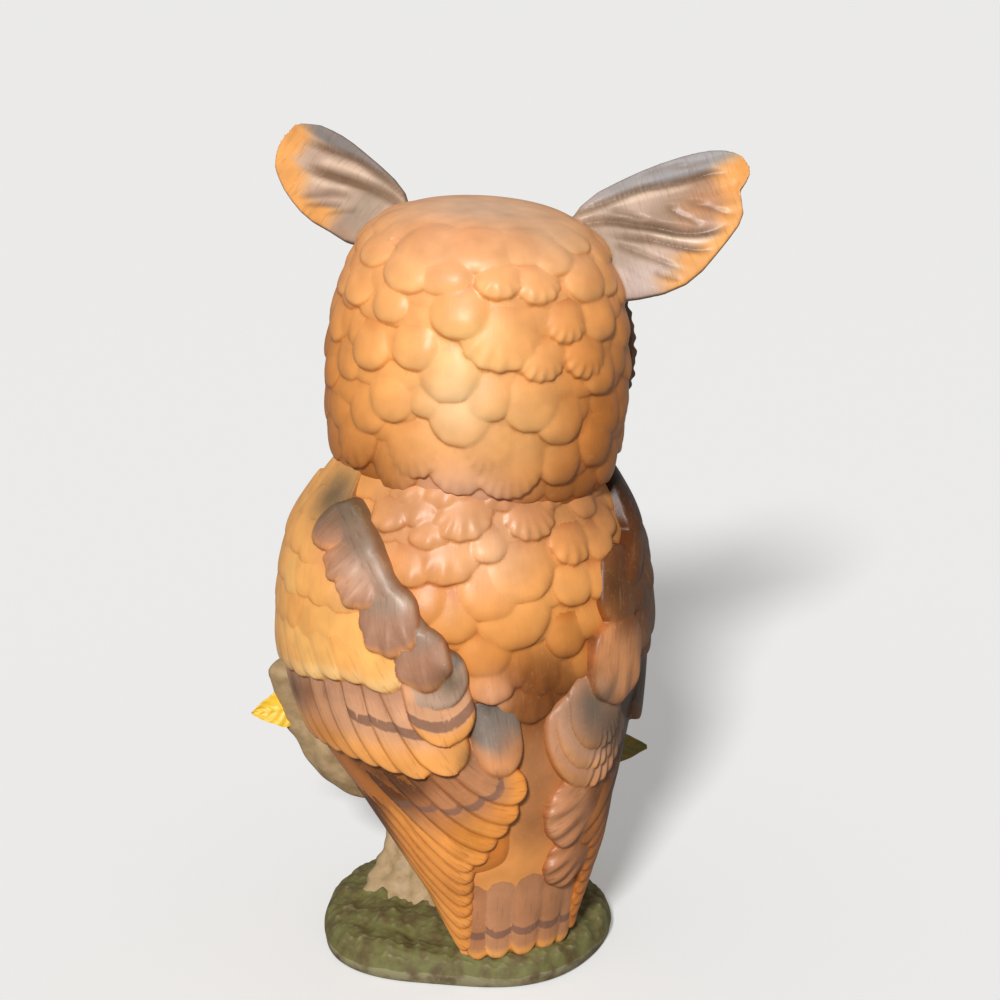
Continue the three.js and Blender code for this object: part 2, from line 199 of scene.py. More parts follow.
def triangles(*quads):
    quads = np.concatenate([np.stack(corners, -1).reshape(-1, 4) for corners in quads])
    return np.concatenate([quads[:, [0, 1, 2]], quads[:, [0, 2, 3]]])


def marked(grid, across, from_tip, margin=NO_RIM_NEAR):
    """The three marks of each point of a grid."""
    return stacked(across + 0 * grid[..., 0], from_tip, margin)


class Clay:
    """The closed shapes that one skin is drawn over, and the surface that they lie on. Each
    point has three marks in millimetres: how far it is across its shape, from the tip and from
    the rim."""

    def __init__(self, name, surface=None):
        self.name = name
        self.surface = surface
        self.points, self.faces, self.marks, self.owner, self.paints = [], [], [], [], []
        self.count = 0

    def add(self, points, faces, marks, paint):
        corners = points[faces]
        volume = np.einsum("ij,ij->i", corners[:, 0], np.cross(corners[:, 1], corners[:, 2]))
        if volume.sum() < 0:
            faces = faces[:, ::-1]
        self.points.append(points)
        self.faces.append(faces + self.count)
        self.marks.append(marks)
        self.owner.append(np.full(len(faces), len(self.paints)))
        self.paints.append(paint)
        self.count += len(points)

    def slab(self, top, bottom, marks, paint):
        """A grid of points and the same grid below it, joined round their edges."""
        grid = np.arange(top[..., 0].size).reshape(top.shape[:2])
        a, b, c, d = grid[:-1, :-1], grid[:-1, 1:], grid[1:, 1:], grid[1:, :-1]
        ring = np.concatenate([grid[0, :-1], grid[:-1, -1], grid[-1, :0:-1], grid[:0:-1, 0]])
        after = np.roll(ring, -1)
        lower = [corner + grid.size for corner in (d, c, b, a)]
        faces = triangles((a, b, c, d), lower, (after, ring, ring + grid.size, after + grid.size))
        marks = marked(top, *marks).reshape(-1, 3)
        points = np.concatenate([top.reshape(-1, 3), bottom.reshape(-1, 3)])
        self.add(points, faces, np.concatenate([marks, marks]), paint)

    def tube(self, rings, marks, paint):
        """Rings of points, with the first and the last closed at their middles."""
        grid = np.arange(rings[..., 0].size).reshape(rings.shape[:2])
        after = np.roll(grid, -1, 1)
        faces = np.concatenate([
            triangles((grid[:-1], after[:-1], after[1:], grid[1:])),
            stacked(grid.size, after[0], grid[0]),
            stacked(grid.size + 1, grid[-1], after[-1]),
        ])
        marks = marked(rings, *marks)
        marks = np.concatenate([marks.reshape(-1, 3), marks[[0, -1]].mean(1)])
        self.add(np.concatenate([rings.reshape(-1, 3), rings[[0, -1]].mean(1)]), faces, marks, paint)


def distances(line):
    """How far along a line each of its points is."""
    return np.concatenate([[0], np.cumsum(np.linalg.norm(np.diff(line, axis=0), axis=1))])


def feather(
    clay, path, width, paint, lifts=(-0.6, 1.6), dome=0.6, rim=0.7, soft=1.5, roll=0, ribs=0,
    rib=0.2, lobe=0.07, cap=0.5, taper=0.2, fine=1, fan=0.85, lean=0,
):
    """A feather on the clay's surface, along a path of (angle, height) spots from its root to
    its tip. It rises from the first of its lifts to the second, is domed across, has its rim
    rounded off over `soft` and leans up by `roll` on the side of the larger angles. Its ribs
    spread from a hub `fan` widths above the tip, on one half only if `lean` is 1 or -1."""
    surface = clay.surface
    path = np.array(path, float)
    a, b = path.mean(0)
    scale = np.linalg.norm([
        surface(a + 0.5, b) - surface(a - 0.5, b), surface(a, b + 0.5) - surface(a, b - 0.5)
    ], axis=1)
    line = spline(path * scale, np.linspace(0, 1, PATH_STEPS))[::-1]
    run = distances(line)
    way = -unit(np.gradient(line, axis=0))
    length = run[-1]
    rows = int(fine * max(16, 1.5 * length, 4 * ribs))
    columns = int(fine * max(13, 1.9 * width, 8 * ribs)) | 1
    d = length * (1 - np.sin(np.linspace(0, 1, rows) * math.pi / 2))[:, None]
    s = crowded(columns)
    tip_end = min(cap * width, 0.6 * length)
    root_end = min(0.45 * width, 0.35 * length)
    tip_part = np.clip(1 - d / tip_end, 0, 1)
    root_part = np.clip(1 - (length - d) / root_end, 0, 0.97)
    narrowed = 1 - taper * np.clip((d - tip_end) / (length - tip_end), 0, 1) ** 2
    half = width / 2 * np.sqrt(1 - tip_part**2) * np.sqrt(1 - root_part**2) * narrowed + 0.02
    x = s * half
    if not ribs:
        rib = lobe = 0.0
    hub = fan * width
    wave = np.cos(2 * math.pi * ribs * np.arctan2(x, np.maximum(hub - d, 0)) / FAN_TURN)
    spread = smooth(0.5, 0.88, np.hypot(x, hub - d) / hub) * smooth(1.0, 0.7, d / hub)
    if lean:
        spread = spread * smooth(-0.2, 0.35, lean * s)
    grow = 1 + lobe * (wave - 1) / 2 * np.maximum(np.abs(s), tip_part) ** 4 * spread
    x = x * grow
    down = np.where(d < tip_end, tip_end - (tip_end - d) * grow, d)
    share = 1 - d / length
    margin = np.minimum((1 - np.abs(s)) * half, d)
    lift = (
        lifts[0] + (lifts[1] - lifts[0]) * share
        + dome * (1 - s**2) * (1 - tip_part**2) * (0.3 + 0.7 * share)
        - rim * (1 - np.sqrt(1 - (1 - np.clip(margin / soft, 0, 1)) ** 2))
        + roll * s
        + rib * wave * spread
    )
    centre, ahead = (
        stacked(*(np.interp(down, run, values[:, k]) for k in (0, 1))) for values in (line, way)
    )
    spot = centre - np.minimum(down, 0)[..., None] * ahead
    spot = spot + x[..., None] * stacked(-ahead[..., 1], ahead[..., 0])
    angle, height = np.moveaxis(spot / scale, -1, 0)
    top = surface(angle, height, lift)
    bottom = surface(angle, height, np.minimum(lift - LEAST_THICK, SUNK))
    clay.slab(top, bottom, (x, down - x**2 / width, margin), paint)


def courses(clay, heights, count, step, middle, length, width, paint, reach=180, **how):
    """Rows of feathers within a reach of their middle, every other row half a step along."""
    for row, height in enumerate(heights):
        for k in range(count):
            angle = (k - (count - 1) / 2 + 0.5 * (row % 2)) * step
            if abs(angle) < reach:
                path = [(middle + angle, height + length), (middle + angle, height)]
                feather(clay, path, width, paint, **how)


def rope(clay, points, radii, sides, rows, paint, rough=0, size=3, seed=1):
    """A round tapering shape along a smooth curve through some points, with rounded ends."""
    t = np.linspace(0, 1, rows)
    line = spline(points, t)
    radius = np.interp(t, np.linspace(0, 1, len(radii)), radii)
    way = unit(np.gradient(line, axis=0))
    first = np.empty_like(way)
    first[0] = np.cross(way[0], [0.31, -0.44, 0.84])
    for k in range(rows):
        before = first[max(k - 1, 0)]
        first[k] = unit(before - (before @ way[k]) * way[k])
    second = np.cross(way, first)
    run = distances(line)
    left = np.minimum(run, run[-1] - run)
    cap = np.sqrt(1 - (1 - np.clip(left / np.maximum(radius * 0.8, 0.3), 0, 1)) ** 2)
    radius = (radius * np.maximum(cap, 0.05))[:, None]
    turn = circle(sides)
    away = np.cos(turn)[..., None] * first[:, None] + np.sin(turn)[..., None] * second[:, None]
    away = radius[..., None] * away
    if rough:
        away = away * (1 + rough * ripple(line[:, None] + away, size, seed))[..., None]
    clay.tube(line[:, None] + away, (turn * radius, run[-1] - run[:, None]), paint)


# Paint: sRGB colours of the brushed and airbrushed finish

ORANGE = (240, 160, 86)
AMBER = (244, 168, 90)
DEEP_ORANGE = (214, 128, 52)
RUSSET = (150, 88, 44)
PINK_BROWN = (192, 132, 92)
BROWN = (112, 64, 32)
DARK_BROWN = (66, 42, 28)
GREY_BROWN = (158, 128, 108)
PINK_GREY = (200, 164, 140)
GREY = (126, 112, 102)
MAUVE = (128, 92, 78)
CREAM = (240, 208, 166)
BLACK = (34, 26, 20)
BARK = (176, 148, 110)
MOSS_GREEN = (112, 110, 62)
YELLOW_LEAF = (246, 202, 62)
GREEN_LEAF = (134, 128, 62)
EYE_YELLOW = (240, 170, 34)
HORN_GREY = (62, 52, 44)
NO_BAR = (0, -1)


def painted(body, tip=None, root=None, tip_at=2.5, root_at=99, bar=NO_BAR, streak=0.2, shade=None):
    """A shape's colours: its body, its tip within `tip_at` and its root beyond `root_at`, with a
    bar as (middle from the tip, half width), how streaky it is, and a rule that shades it."""
    return dict(
        body=body, tip=tip or body, root=root or body, tip_at=tip_at, root_at=root_at, bar=bar,
        streak=streak, shade=shade,
    )


def blend(first, second, share):
    return first + (second - first) * share[..., None]


def coated(colour, coats):
    """A colour under coats of others, each with its share at every spot."""
    colour = np.array(colour, float)
    for tone, share in coats:
        colour = blend(colour, np.array(tone, float), share)
    return colour


# Feathers of the head and the mantle: angle, latitude or height, width, ribs. The carved ones lie
# over plainer rows, which on the head have a step in angle and a span.

HEAD_MIDDLE, HEAD_SIDE_END = -16, 124
UNDER_STEP, UNDER_SPAN = 14.0, 220
HEAD_FEATHERS = [
    (-53.5, 46, 8.4, 0), (-22, 40, 7.4, 5), (-42, 38, 7.4, 5), (25.5, 28.5, 8, 0), (-6.5, 27, 9.8, 0),
    (-23.5, 16, 13.2, 6), (-52, 24.5, 8, 6), (11, 14, 9, 0), (31.5, 10, 8.6, 0), (-5.5, 3.5, 10.6, 0),
    (-39.5, 12, 8.6, 6), (-59, 11, 9, 6), (45, 3, 8.6, 0), (-21, -3, 9.2, 0), (-37, -7, 10.8, 0),
    (21, -8, 9.6, 0), (5.5, -4, 7.2, 0), (-48, -12.5, 9.6, 0), (-66.5, 4, 9, 0), (-8.5, -13.5, 11, 0),
    (30.5, -15, 9.4, 0), (-22, -23.5, 10.4, 8), (8.5, -27.5, 10, 7), (-9.5, -32, 11, 7), (-30, -32, 13, 10),
    (-51, -28, 9, 0), (18, -34, 9, 6), (-68, -23.5, 9.4, 0), (39.5, -29, 10.2, 5), (48, 30, 9, 0),
    (48, 43, 9, 0), (16.5, 46, 11.5, 0), (-13, 48, 12, 0), (-38, 50, 11.5, 0), (-71, 50.5, 9, 0),
    (-66.5, 36, 9, 0), (-70, 23, 9, 0), (2.5, 40.5, 10, 0), (20, 39, 9.4, 0), (51.5, -17.5, 9.6, 0),
    (-75.5, -13.5, 9.4, 0), (61, 14, 9, 0), (60, -4, 9.4, 0), (64, 30, 9, 0), (60, -31, 10, 0),
    (68, 46, 9, 0), (74, 4, 9.2, 0), (72, -20, 9.6, 0), (78, 20, 9, 0), (-80, 8, 9, 0), (-82, 36, 9, 0),
    (-82, -33, 9.6, 0),
]
SIDE_LATITUDES = [(44, 8), (30, 8), (16, 8.4), (2, 8.6), (-12, 8.8), (-25, 8.8), (-37, 9)]
UNDER_LATITUDES = [52, 44, 36, 28, 16, 4, -7, -17, -27, -36]

MANTLE_FEATHERS = [
    (24, 75.8, 8.8, 5), (14, 72.5, 6, 0), (-4.5, 75, 8.4, 6), (-31, 76, 6.4, 0), (-17, 70.2, 7.8, 4),
    (29, 69.4, 10, 4), (14.5, 63.6, 10.4, 0), (2, 66, 11.4, 0), (-15.5, 64, 8.6, 0), (-32, 69.5, 7.6, 0),
    (5, 58.8, 12.6, 0), (-12, 56, 8.2, 0), (27.5, 60.5, 9, 0), (16, 54.5, 8.8, 0), (39.5, 69, 7.2, 3),
    (35, 74.5, 6.8, 3), (49, 80.5, 6.8, 3), (42, 77.5, 7, 3), (53, 76.5, 6.6, 3), (-23, 58, 7.8, 0),
    (-29, 63.8, 7.8, 0), (-40, 72, 7.2, 0), (-38, 65.5, 6.8, 0), (-13, 78.5, 8, 4), (6, 79.5, 8.4, 4),
    (31, 80, 8, 3), (-26, 80, 7.6, 0), (-44, 78, 8, 0), (36, 63.5, 7.4, 0), (-20, 51.5, 7, 0),
    (22, 50.5, 7.6, 0),
]
LOW_MANTLE = [
    (14, 50.4, 8.4, 6), (5, 52.5, 7.6, 4), (-11, 50, 7.4, 4), (-2.5, 50.5, 9.4, 6), (0.5, 46.2, 9.6, 6),
    (9, 48, 7, 3),
]

head_clay = Clay("owl_head", head)
body_clay = Clay("owl_body", torso)
wing_clay = Clay("owl_wings", torso)
perch_clay = Clay("owl_perch")


def build_bodies():
    around = np.degrees(circle(120))
    for clay, heights, lift in ((body_clay, (89.9, 5.1, 110), 0.0), (head_clay, (88, -88, 90), -0.1)):
        rings = clay.surface(around, np.linspace(*heights)[:, None], lift)
        clay.tube(rings, (0, 40), painted(ORANGE))


def build_head_feathers():
    rng = np.random.default_rng(SEED)
    for angle, latitude, width, ribs in HEAD_FEATHERS:
        length = 1.1 * width + 1.4 - 4 * smooth(36, 52, latitude)
        skirt = smooth(-20, -34, latitude)
        off = abs(angle - HEAD_MIDDLE)
        flat = 1 - (1 - smooth(42, 58, latitude)) * (1 - 0.8 * smooth(48, 70, off))
        side_on = smooth(44, 70, off)
        high = rng.uniform(-0.22, 0.22)
        path = [(angle + rng.uniform(-4, 4), latitude + 2.3 * length), (angle, latitude)]
        # The deeper orange towards each feather's root lies under the tip of the feather above: painted
        # shade
        paint = painted(
            (246, 166, 92), tip=(252, 178, 104), root=(218, 126, 54), root_at=0.8 * width, streak=0.2
        )
        feather(
            head_clay, path, width, paint, ribs=ribs, soft=3, dome=0.8 - 0.5 * flat,
            lifts=(-0.9, 1.35 + high + 0.3 * skirt - 0.85 * flat), rib=0.15 - 0.05 * skirt, fan=0.7,
            rim=1.15 - 0.75 * flat - 0.2 * side_on - (0.3 if ribs else 0),
            lobe=0.06 * (1 - max(side_on, skirt)),
        )
    for latitude, width in SIDE_LATITUDES:
        for side, start in ((LEFT, 86), (RIGHT, 90)):
            for k in range(3):
                angle = side * (start + (8 if latitude % 4 else 0) + 17 * k)
                if abs(angle) < HEAD_SIDE_END:
                    feather(
                        head_clay, [(angle, latitude + 22), (angle, latitude)], width,
                        painted(ORANGE, tip=AMBER), lifts=(-0.7, 0.75), dome=0.4, soft=2.6,
                    )
    for row, latitude in enumerate(UNDER_LATITUDES):
        step = UNDER_STEP / max(math.cos(math.radians(latitude)), 0.5)
        count = int(UNDER_SPAN / step) + row % 2
        for k in range(count):
            angle = (k - (count - 1) / 2) * step + 4 * math.sin(5.1 * k + row)
            feather(
                head_clay, [(angle, latitude + 20), (angle, latitude)], 9, painted(ORANGE),
                lifts=(-0.6, 0.4), dome=0.4, rim=0.5, soft=2.2, fine=0.8,
            )


def build_mantle():
    rng = np.random.default_rng(SEED + 1)
    for angle, z, width, ribs in MANTLE_FEATHERS:
        high = smooth(75, 79, z)
        path = [(angle + rng.uniform(-4, 4), z + (1.1 * width + 1.6)), (angle, z)]
        # The deeper orange towards each feather's root lies under the tip of the feather above: painted
        # shade
        paint = painted((248, 170, 92), root=(214, 124, 54), root_at=0.8 * width, streak=0.25)
        feather(
            body_clay, path, 1.06 * width, paint, fan=1, dome=0.7 - 0.2 * high,
            lifts=(-0.8, 1.3 + rng.uniform(-0.2, 0.2) - 0.4 * high), rim=0.75 if ribs else 1.0,
            soft=2.6, ribs=1.5 * ribs, rib=0.15, lobe=0.04,
        )
    for order, (angle, z, width, ribs) in enumerate(LOW_MANTLE):
        feather(
            body_clay, [(angle, z + 1.2 * width), (angle, z)], width, painted(AMBER, streak=0.4),
            lifts=(-0.6, 0.9 if order else 1.8), dome=0.5, rim=0.8, soft=2.4, ribs=ribs, rib=0.16,
            lobe=0.03, fan=1.2,
        )
    courses(
        body_clay, np.arange(80, 47, -5.2), 13, 12, 0, 9, 8.6, painted(AMBER), lifts=(-0.6, 0.35),
        dome=0.4, rim=0.4, soft=2, fine=0.8,
    )


def through(values, t):
    first, middle, last = values
    return (1 - t) * (1 - 2 * t) * first + 4 * t * (1 - t) * middle + t * (2 * t - 1) * last


def build_wing_body(side):
    t = np.linspace(0, 1, 60)
    rows = np.array([
        stacked(through(angles, t), through(heights, t), lift) for angles, heights, lift in WING
    ])
    r = np.linspace(0, len(WING) - 1, 70)
    i = np.minimum(r.astype(int), len(WING) - 2)
    f = (r - i)[:, None, None]
    angle, z, raised = np.moveaxis(rows[i] * (1 - f) + rows[i + 1] * f, -1, 0)
    fade = smooth(0, 0.2, t) * smooth(0, 0.08, 1 - t)
    fade = fade * smooth(0, 0.5, r)[:, None] * smooth(0, 0.6, r[-1] - r)[:, None]
    lift = SUNK + (raised - SUNK) * fade
    top, bottom = (torso(side * angle, z, level) for level in (lift, np.minimum(lift - 0.6, -1.4)))
    wing_clay.slab(top, bottom, (0, 40), painted(DEEP_ORANGE if side == LEFT else BROWN))


# The wings. Covert rows are the tips' height, their width, the lift and the tips' angles

COVERT_ROWS = [
    (75.4, 8.4, 2.4, (84, 94, 104)), (70, 8.8, 2.45, (79, 88.5, 98, 107.5, 117)),
    (64.4, 9.2, 2.5, (60, 69, 78, 87, 96, 106, 116)),
    (58.6, 9.2, 2.6, (45.5, 54.5, 64, 73, 82, 91, 100, 109, 118)),
]
LONG_COVERTS = [
    (43.5, 53.2), (52.5, 53.9), (61, 53.6), (69.5, 52.6), (78, 51.8), (87, 51.4), (96, 51.2), (105, 51.2),
    (114, 51.6), (123, 52),
]
LEFT_SCAPULARS = [
    ([(69, 78.6), (72.6, 77), (76.4, 73)], 7.4, 0, 3.2),
    ([(58, 75), (61.6, 73), (67.4, 69.2)], 7.2, 5, 3.3),
    ([(52, 71.6), (54.8, 69.8), (59.4, 65.7)], 7.4, 5, 3.3),
    ([(46.6, 69.6), (45.8, 66), (43.4, 58.7)], 9.0, 6, 3.4),
    ([(37.4, 63.6), (35.8, 60), (32.6, 53.6)], 8.2, 4, 3.4),
]
LEFT_RIDGE = [
    ([(77, 79), (65, 76.6), (53, 72.2)], 5.0), ([(59, 75), (49.4, 70), (40, 64.4)], 4.4),
    ([(43.4, 67), (36, 61.6), (28.4, 56)], 4.2),
]
RIGHT_SCAPULARS = [
    ([(76, 79), (78, 76), (82, 70)], 8, 0, 1.6), ([(60, 75), (64, 72), (69, 65.4)], 8, 0, 2.2),
    ([(50, 71.4), (54, 67), (60, 60)], 8.4, 0, 2.5), ([(52, 64), (53, 58), (52, 50)], 9, 4, 2.5),
    ([(42, 70.6), (37, 66.4), (32.4, 58.4)], 9.6, 0, 2.3),
    ([(36, 60.6), (32.6, 54.6), (30.6, 46.3)], 12.8, 6, 3.4),
]
RIGHT_RIDGE = [([(72, 81), (63, 76.4), (53, 70)], 6.0), ([(58, 71.6), (48, 68.4), (38, 64.6)], 5.0)]
SECONDARY_PATH = [(50, 59), (47, 52), (44, 45.4), (38.8, 39)]
SECONDARY_STEP = [(7, -0.9), (7.6, -0.7), (7.5, -0.35), (7.3, 0.55)]
OUTER_SECONDARIES = 9
INNER_SECONDARIES = [
    ([(46, 60), (39.5, 53), (33.5, 46), (27.5, 40.2)], 8.8, 3.15, 7.2),
    ([(34, 60), (31, 53), (27.5, 44.8)], 9.6, 3.5, 3.3),
]
LOWER_SECONDARIES = [
    ([(42, 50), (29, 43), (16.6, 37.8), (4.6, 37)], 6.2, 2.1, 4.4),
    ([(49, 49), (35, 41), (22, 34.8), (8.4, 33)], 5.8, 1.8, 6.4),
    ([(56, 48), (42, 39.4), (28.6, 32.8), (13, 30.6)], 5.8, 1.6, 8.4),
    ([(63, 46), (49, 37.6), (35, 30.6), (19, 28)], 6.0, 1.4, 11),
    ([(70, 44), (56, 35.4), (41, 28.4), (25, 25)], 6.0, 1.2, 14),
]
PRIMARY_PATH = [(58.6, 40.6), (51.6, 35.4), (43.4, 29.6), (31, 25.4)]
PRIMARY_STEP = [(5.6, -0.6), (5.2, -1.5), (4.4, -2.2), (3.0, -2.3)]
PRIMARIES = 9
NESTED_PADS = [
    ([(29, 50), (26, 42.6), (20.6, 34.0)], 20, 1.9), ([(26, 51), (24, 45), (18.8, 37.4)], 15.6, 2.6),
    ([(26, 53), (24.6, 48), (21.6, 40.4)], 12, 3.2),
]
LUMPS = [([(45, 27), (30, 22.6), (11, 18)], 10.6, 0.8), ([(50, 37), (30, 32), (5.4, 27.4)], 13, 1.3)]


def stepped(path, step, k):
    return [(a + k * da, z + k * dz) for (a, z), (da, dz) in zip(path, step)]


def lay(side, path, width, paint, roll=0, lean=0, **how):
    """A feather of one folded wing. Its angles are the left wing's, mirrored for the right."""
    path = [(side * angle, z) for angle, z in path]
    feather(wing_clay, path, width, paint, roll=side * roll, lean=side * lean, **how)


def coverts(side, colour, pale):
    for z, width, lift, angles in COVERT_ROWS:
        for angle in angles:
            tip_z = z + 0.6 * math.sin(angle)
            lay(
                side, [(angle + 6, tip_z + 10), (angle + 2.4, tip_z + 5), (angle, tip_z)], width,
                painted(colour, streak=0.3), lifts=(1.9 if z < 75 else 0.2, lift + 0.15), dome=0.3,
                rim=0.4, soft=2.4, roll=0.12,
            )
    for angle, z in LONG_COVERTS:
        lay(
            side, [(angle + 12, z + 13), (angle + 7, z + 6.4), (angle, z)], 8.6,
            painted(colour, tip=pale, tip_at=3.5, streak=0.45), lifts=(1.9, 3.0), dome=0.4, rim=0.65,
            soft=1.9, roll=0.34,
        )


def scapulars(side, feathers, ridge, paint, strip, rib=0.45):
    """A row of lobes, and the raised strip along their roots."""
    for path, width, ribs, lift in feathers:
        lay(
            side, path, width, paint, lifts=(lift - 0.8, lift + 0.25), dome=0.7, rim=1.05, soft=2.2,
            ribs=ribs, rib=rib, lobe=0.05, fan=1.3, taper=0.1,
        )
    for path, width in ridge:
        lay(side, path, width, strip, lifts=(2.5, 2.6), rim=1, soft=2, cap=0.7, taper=0)


def secondaries(side, body, tip, root, first=0):
    how = dict(dome=0.25, rim=0.6, soft=1, taper=0.1, cap=0.55, roll=0.75)
    for k in reversed(range(first, OUTER_SECONDARIES)):
        paint = painted(
            body, tip=tip, root=root, tip_at=8 - 0.4 * k, root_at=12.5,
            bar=(8.6, 0.9) if k < 2 else NO_BAR, streak=0.55,
        )
        path = stepped(SECONDARY_PATH, SECONDARY_STEP, k)
        lay(side, path, 7.4, paint, lifts=(1.4, 2.9 - 0.07 * k), **how)
    if not first:
        for path, width, lift, bar in INNER_SECONDARIES:
            paint = painted(body, tip, root, tip_at=bar, root_at=13, bar=(bar, 0.95), streak=0.5)
            lay(side, path, width, paint, lifts=(1.5, lift), **how)


def lower_feathers(side, body, tip, root, shown):
    """The lower secondaries and the primaries, fanned from the tail's side to the wing's tip."""
    how = dict(dome=0.3, rim=0.5, soft=0.9, roll=0.45, taper=0.1)
    for k in reversed(range(PRIMARIES)):
        paint = painted(tip, root=root, root_at=17, streak=0.8)
        path = stepped(PRIMARY_PATH, PRIMARY_STEP, k)
        lay(side, path, 5.4, paint, lifts=(0.5, 1.3 - 0.05 * k), **how)
    for path, width, lift, bar in reversed(shown):
        paint = painted(body, tip, root, tip_at=bar, root_at=14, bar=(bar, 0.6), streak=0.55)
        lay(side, path, width, paint, lifts=(0.9, lift), **how)


def build_left_wing():
    lower_feathers(LEFT, (186, 124, 82), (236, 152, 72), BROWN, LOWER_SECONDARIES)
    covert = painted(GREY, tip=(232, 158, 104), root=BLACK, tip_at=5.5, root_at=12.5, streak=0.5)
    lay(
        LEFT, [(14.6, 52.4), (13.2, 46), (13.6, 38.9)], 8.2, covert, lifts=(-0.2, 2.8), dome=0.8, rim=1.2,
        soft=2.8, taper=0, cap=0.6,
    )
    secondaries(LEFT, (228, 170, 130), AMBER, (196, 144, 114))
    coverts(LEFT, (255, 184, 102), (255, 198, 126))
    grey = painted(PINK_GREY, root=GREY, root_at=5, streak=0.6)
    lay(
        LEFT, [(34, 60), (32.4, 56), (30.4, 50.4)], 10.4, grey, lifts=(1.6, 3.2), rim=0.8, ribs=6,
        rib=0.1, lobe=0, fan=0.9,
    )
    lobes = painted(
        (180, 132, 106), tip=(228, 158, 104), root=GREY_BROWN, tip_at=2.2, root_at=7, streak=0.5
    )
    scapulars(LEFT, LEFT_SCAPULARS, LEFT_RIDGE, lobes, painted((166, 134, 116), streak=0.6))


def build_right_wing():
    lower_feathers(RIGHT, RUSSET, DEEP_ORANGE, BROWN, LOWER_SECONDARIES[3:])
    secondaries(RIGHT, BROWN, RUSSET, DARK_BROWN, first=2)
    coverts(RIGHT, BROWN, RUSSET)
    for path, width, lift in LUMPS:
        lay(
            RIGHT, path, width, painted(PINK_BROWN, root=RUSSET, root_at=9, streak=0.7), dome=1,
            lifts=(0.2, lift + 0.5), rim=1.1, soft=2.6, ribs=7, rib=0.34, lobe=0.04, fan=1.2, taper=0,
        )
    for path, width, lift in NESTED_PADS:
        lay(
            RIGHT, path, width, painted((200, 144, 108), tip=(204, 142, 92), streak=0.35), dome=0.8,
            lifts=(0.8, lift + 0.3), rim=1, soft=2.6, ribs=11, rib=0.34, lobe=0.02, fan=0.7, lean=1,
            taper=0,
        )
    dark = painted((122, 76, 38), tip=(150, 90, 42), tip_at=3, root=BROWN, root_at=9, streak=0.6)
    scapulars(RIGHT, RIGHT_SCAPULARS[:-1], RIGHT_RIDGE, dark, painted(BROWN, streak=0.4), rib=0.18)
    lobe = painted((226, 156, 104), tip=(230, 142, 66), tip_at=3, root=RUSSET, root_at=12, streak=0.6)
    scapulars(RIGHT, RIGHT_SCAPULARS[-1:], [], lobe, dark, rib=0.22)


def build_tail():
    paint = painted(PINK_BROWN, tip=AMBER, root=RUSSET, bar=(5, 0.8), streak=0.4)
    for angle in (-52, 52, -27, 27, 0):
        feather(
            body_clay, [(angle * 0.5, 27), (angle * 0.8, 15), (angle, 4.6)], 6.4, paint,
            lifts=(-0.8, 1.1 - 0.008 * abs(angle)), dome=0.5, rim=0.6, soft=1.4, taper=0.1,
        )


# Ear tufts: lobed plates that spring from the sides of the crown, with carved lines.
# A line has its points in millimetres along and across the tuft, its half width and depth.

TUFT_STATIONS = [0, 0.12, 0.26, 0.40, 0.52, 0.63, 0.72, 0.81, 0.86, 0.89, 0.94, 0.98, 1]
RIGHT_UPPER = [0.50, 0.54, 0.53, 0.51, 0.48, 0.44, 0.40, 0.345, 0.30, 0.27, 0.20, 0.12, 0.02]
RIGHT_LOWER = [0.58, 0.67, 0.75, 0.78, 0.74, 0.66, 0.59, 0.51, 0.42, 0.20, 0.15, 0.09, 0.02]
LEFT_UPPER = [0.44, 0.46, 0.45, 0.43, 0.41, 0.38, 0.34, 0.29, 0.24, 0.21, 0.15, 0.08, 0.02]
LEFT_LOWER = [0.28, 0.37, 0.42, 0.48, 0.50, 0.49, 0.47, 0.43, 0.40, 0.37, 0.28, 0.16, 0.02]
RIGHT_LINES = [
    ([(-2, -7), (3.4, -6), (9.6, -5.2), (14, -3.8), (18, -2.8), (21.5, -2), (24.8, -0.2)], 0.6, 1.0),
    ([(8, -7), (13.8, -6.6), (18.6, -4.8), (23.4, -3)], 0.45, 0.35),
    ([(-2, -5), (3.2, -3), (6.8, -0.6), (9.6, 1.2), (13, 4), (18, 6.6), (22, 7.4)], 0.75, 1.15),
    ([(1, -1.8), (5.2, 1), (8.8, 3.2), (12.2, 6), (15, 8.2), (18, 9.8)], 0.55, 0.9),
    ([(2, 0.6), (4, 2.2), (6.4, 4.6), (9, 7.2), (12, 10.4)], 0.5, 0.6),
    ([(6.6, 7.6), (8.6, 9.6), (11, 11.4)], 0.5, 0.45), ([(3.6, -4.6), (6.6, -2.6), (9.8, 0.6)], 0.5, 0.6),
    ([(12.4, -1.2), (15, 2.4), (18, 6)], 0.45, 0.4), ([(15.4, -0.4), (19.4, 3), (22.6, 6.6)], 0.45, 0.4),
    ([(3, -5), (10, -3.8), (15, -2.4), (19, -1.4)], 0.8, -0.4),
    ([(8.4, 1.8), (12, 4.6), (16, 7.2), (20, 8.4)], 0.65, -0.6),
]
LEFT_LINES = [
    ([(-3, -6.6), (3.4, -6.2), (7, -5.6), (10.6, -5), (14.8, -3.6), (20, -1.8), (24, 0)], 0.6, 0.9),
    ([(-4, -5.4), (1.2, -4.4), (5, -3.3), (9, -2), (13, -0.5), (17, 1.2), (21, 2.8)], 0.8, 1.1),
    ([(6.8, -0.4), (10.6, 1.4), (13.8, 4), (17, 7)], 0.6, 0.5),
    ([(7.2, 1.8), (10.8, 4), (14.8, 7)], 0.5, 0.5), ([(4, 0.8), (6.6, 2.4), (9.8, 5.4)], 0.5, 0.4),
    ([(4, -5), (9, -3.6), (14, -1.8), (19, 0.2)], 0.8, -0.4),
    ([(8, -0.8), (12.4, 1.2), (18, 3.6)], 0.7, -0.4),
]


